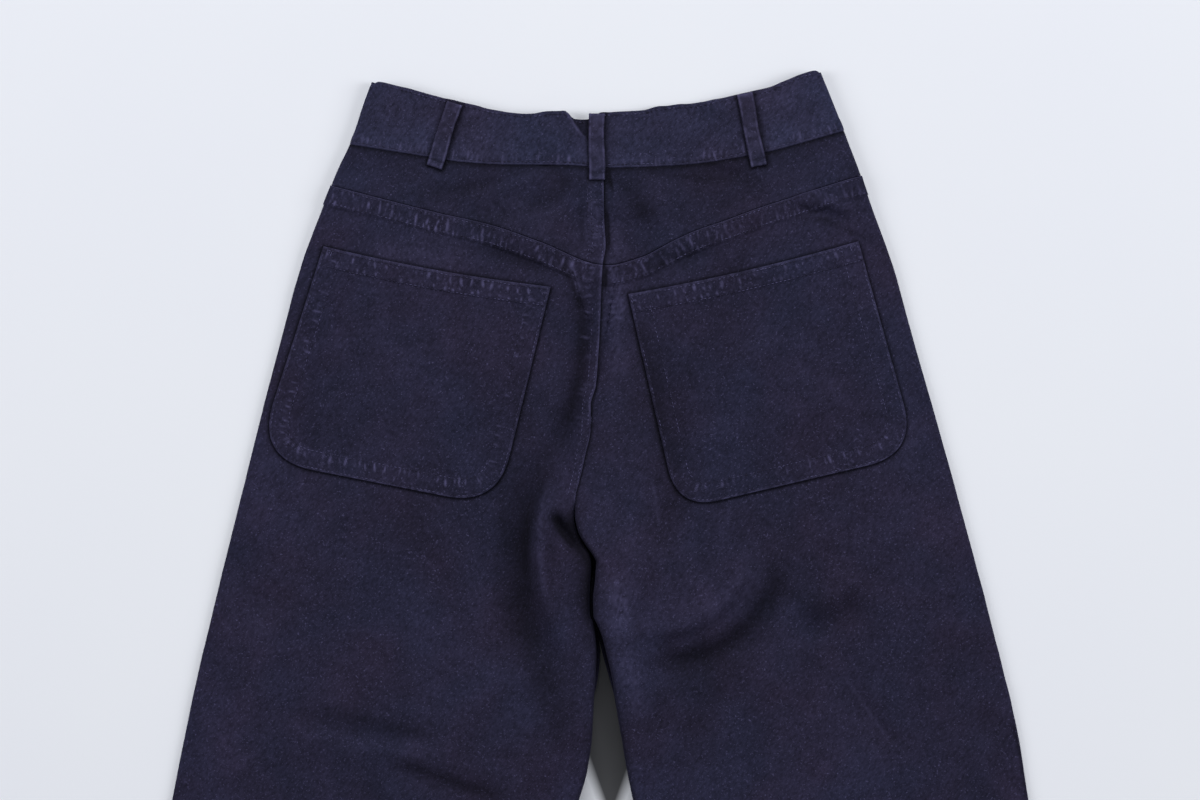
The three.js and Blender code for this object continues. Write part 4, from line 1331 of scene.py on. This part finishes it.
def stitch_points(start, end):
    """A low lens of thread between two needle holes."""
    run = end - start
    length = np.linalg.norm(run)
    run = run / length
    side = np.cross(run, (0, 0, 1))
    side /= np.linalg.norm(side)
    up = np.cross(side, run)
    points = [start - STITCH_SINK * up]
    for share, swell in STITCH_RINGS:
        for k in range(STITCH_SIDES):
            angle = 2 * math.pi * k / STITCH_SIDES
            ring = side * math.cos(angle) + up * (math.sin(angle) * 0.7 + 0.25)
            points.append(start + run * length * share + ring * THREAD_RADIUS * swell)
    points.append(end - STITCH_SINK * up)
    return points


def stitch_faces():
    n = STITCH_SIDES
    faces = []
    for k in range(n):
        after = (k + 1) % n
        faces.append((0, 1 + after, 1 + k))
        for ring in (0, 1):
            a, b = 1 + ring * n + k, 1 + ring * n + after
            faces += [(a, b, b + n), (a, b + n, a + n)]
        faces.append((1 + 2 * n + k, 1 + 2 * n + after, 1 + 3 * n))
    return np.array(faces)


STITCH_FACES = stitch_faces()


def make_stitches(name, paths, over, pitch=STITCH_PITCH):
    """Rows of stitches along paths, dropped on the pieces that they hold."""
    rng = np.random.default_rng(STITCH_SEED)
    points, faces = [], []
    for path in paths:
        lengths = path_lengths(path)
        at = rng.uniform(0, pitch)
        while at + pitch * STITCH_SHARE < lengths[-1]:
            ends = []
            for s in (at, at + pitch * STITCH_SHARE):
                x = float(np.interp(s, lengths, path[:, 0])) + rng.normal(0, 0.1)
                y = float(np.interp(s, lengths, path[:, 1])) + rng.normal(0, 0.1)
                ends.append((x, y, drop(over, x, y)))
            (start, end), heights = np.array(ends, float), [place[2] for place in ends]
            if None not in heights and abs(heights[0] - heights[1]) < STEEPEST_STITCH:
                faces.append(STITCH_FACES + len(points))
                points += stitch_points(start, end)
            at += pitch * rng.uniform(0.92, 1.08)
    piece = write_mesh(name, np.array(points), np.concatenate(faces))
    piece.data.materials.append(THREAD)
    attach(piece, "root")


def offset_path(path, distance):
    """Path moved to its left by a distance."""
    run = np.gradient(path, axis=0)
    run /= np.linalg.norm(run, axis=1, keepdims=True)
    return path + np.stack([-run[:, 1], run[:, 0]], axis=-1) * distance


def sew(pocket_plans):
    rows = [
        offset_path(line_points(back_waist, -176, 171), -BAND_INSET),
        offset_path(line_points(back_band_seam, -200, 196), BAND_INSET),
    ]
    make_stitches("thread_waistband", rows, ["waistband_back"], BAND_PITCH)

    legs = ["back_left", "back_right"]
    seams = line_points(yoke_seam, -213, -1), line_points(yoke_seam, 8, 210)
    rows = [offset_path(seam, -depth) for seam in seams for depth in YOKE_INSETS]
    make_stitches("thread_yoke", rows, legs)

    beside_seat = lambda span, inset: seam_points(lambda y: seat_seam(y) - inset, *span)
    rows = [beside_seat(span, inset) for span, insets in SEAT_STITCHES for inset in insets]
    for level in SEAT_CROSS_LEVELS:
        rows.append(np.stack([np.arange(-9, 3, 1.0), np.full(12, level)], axis=-1))
    make_stitches("thread_seat", rows, legs + ["yoke_left"])

    rows = []
    for plan in pocket_plans:
        top, rest = pocket_paths(plan)
        rows += [offset_path(evenly(rest, 260), inward) for inward in POCKET_SIDE_INSETS]
        rows += [offset_path(evenly(top, 80), -below) for below in POCKET_TOP_INSETS]
        for corner, way in ((top[0], 1), (top[-1], -1)):
            for k in range(BAR_TACK_ROWS):
                inward = BAR_TACK["inward"] + BAR_TACK["pitch"] * k
                start = corner + (way * inward, -BAR_TACK["below"])
                rows.append(np.stack([start, start + (way * BAR_TACK["lean"], -BAR_TACK["length"])]))
    make_stitches("thread_pockets", rows, ["pocket_left", "pocket_right"])


set_camera()
add_floor()
light_scene()
for side in SIDE_NAMES:
    make_leg(side)
    make_front(side)
    make_yoke(side)
    make_front_band(side)
make_back_band()
plans = [make_pocket(side) for side in SIDE_NAMES]
for loop_name in BELT_LOOPS:
    make_belt_loop(loop_name)
sew(plans)
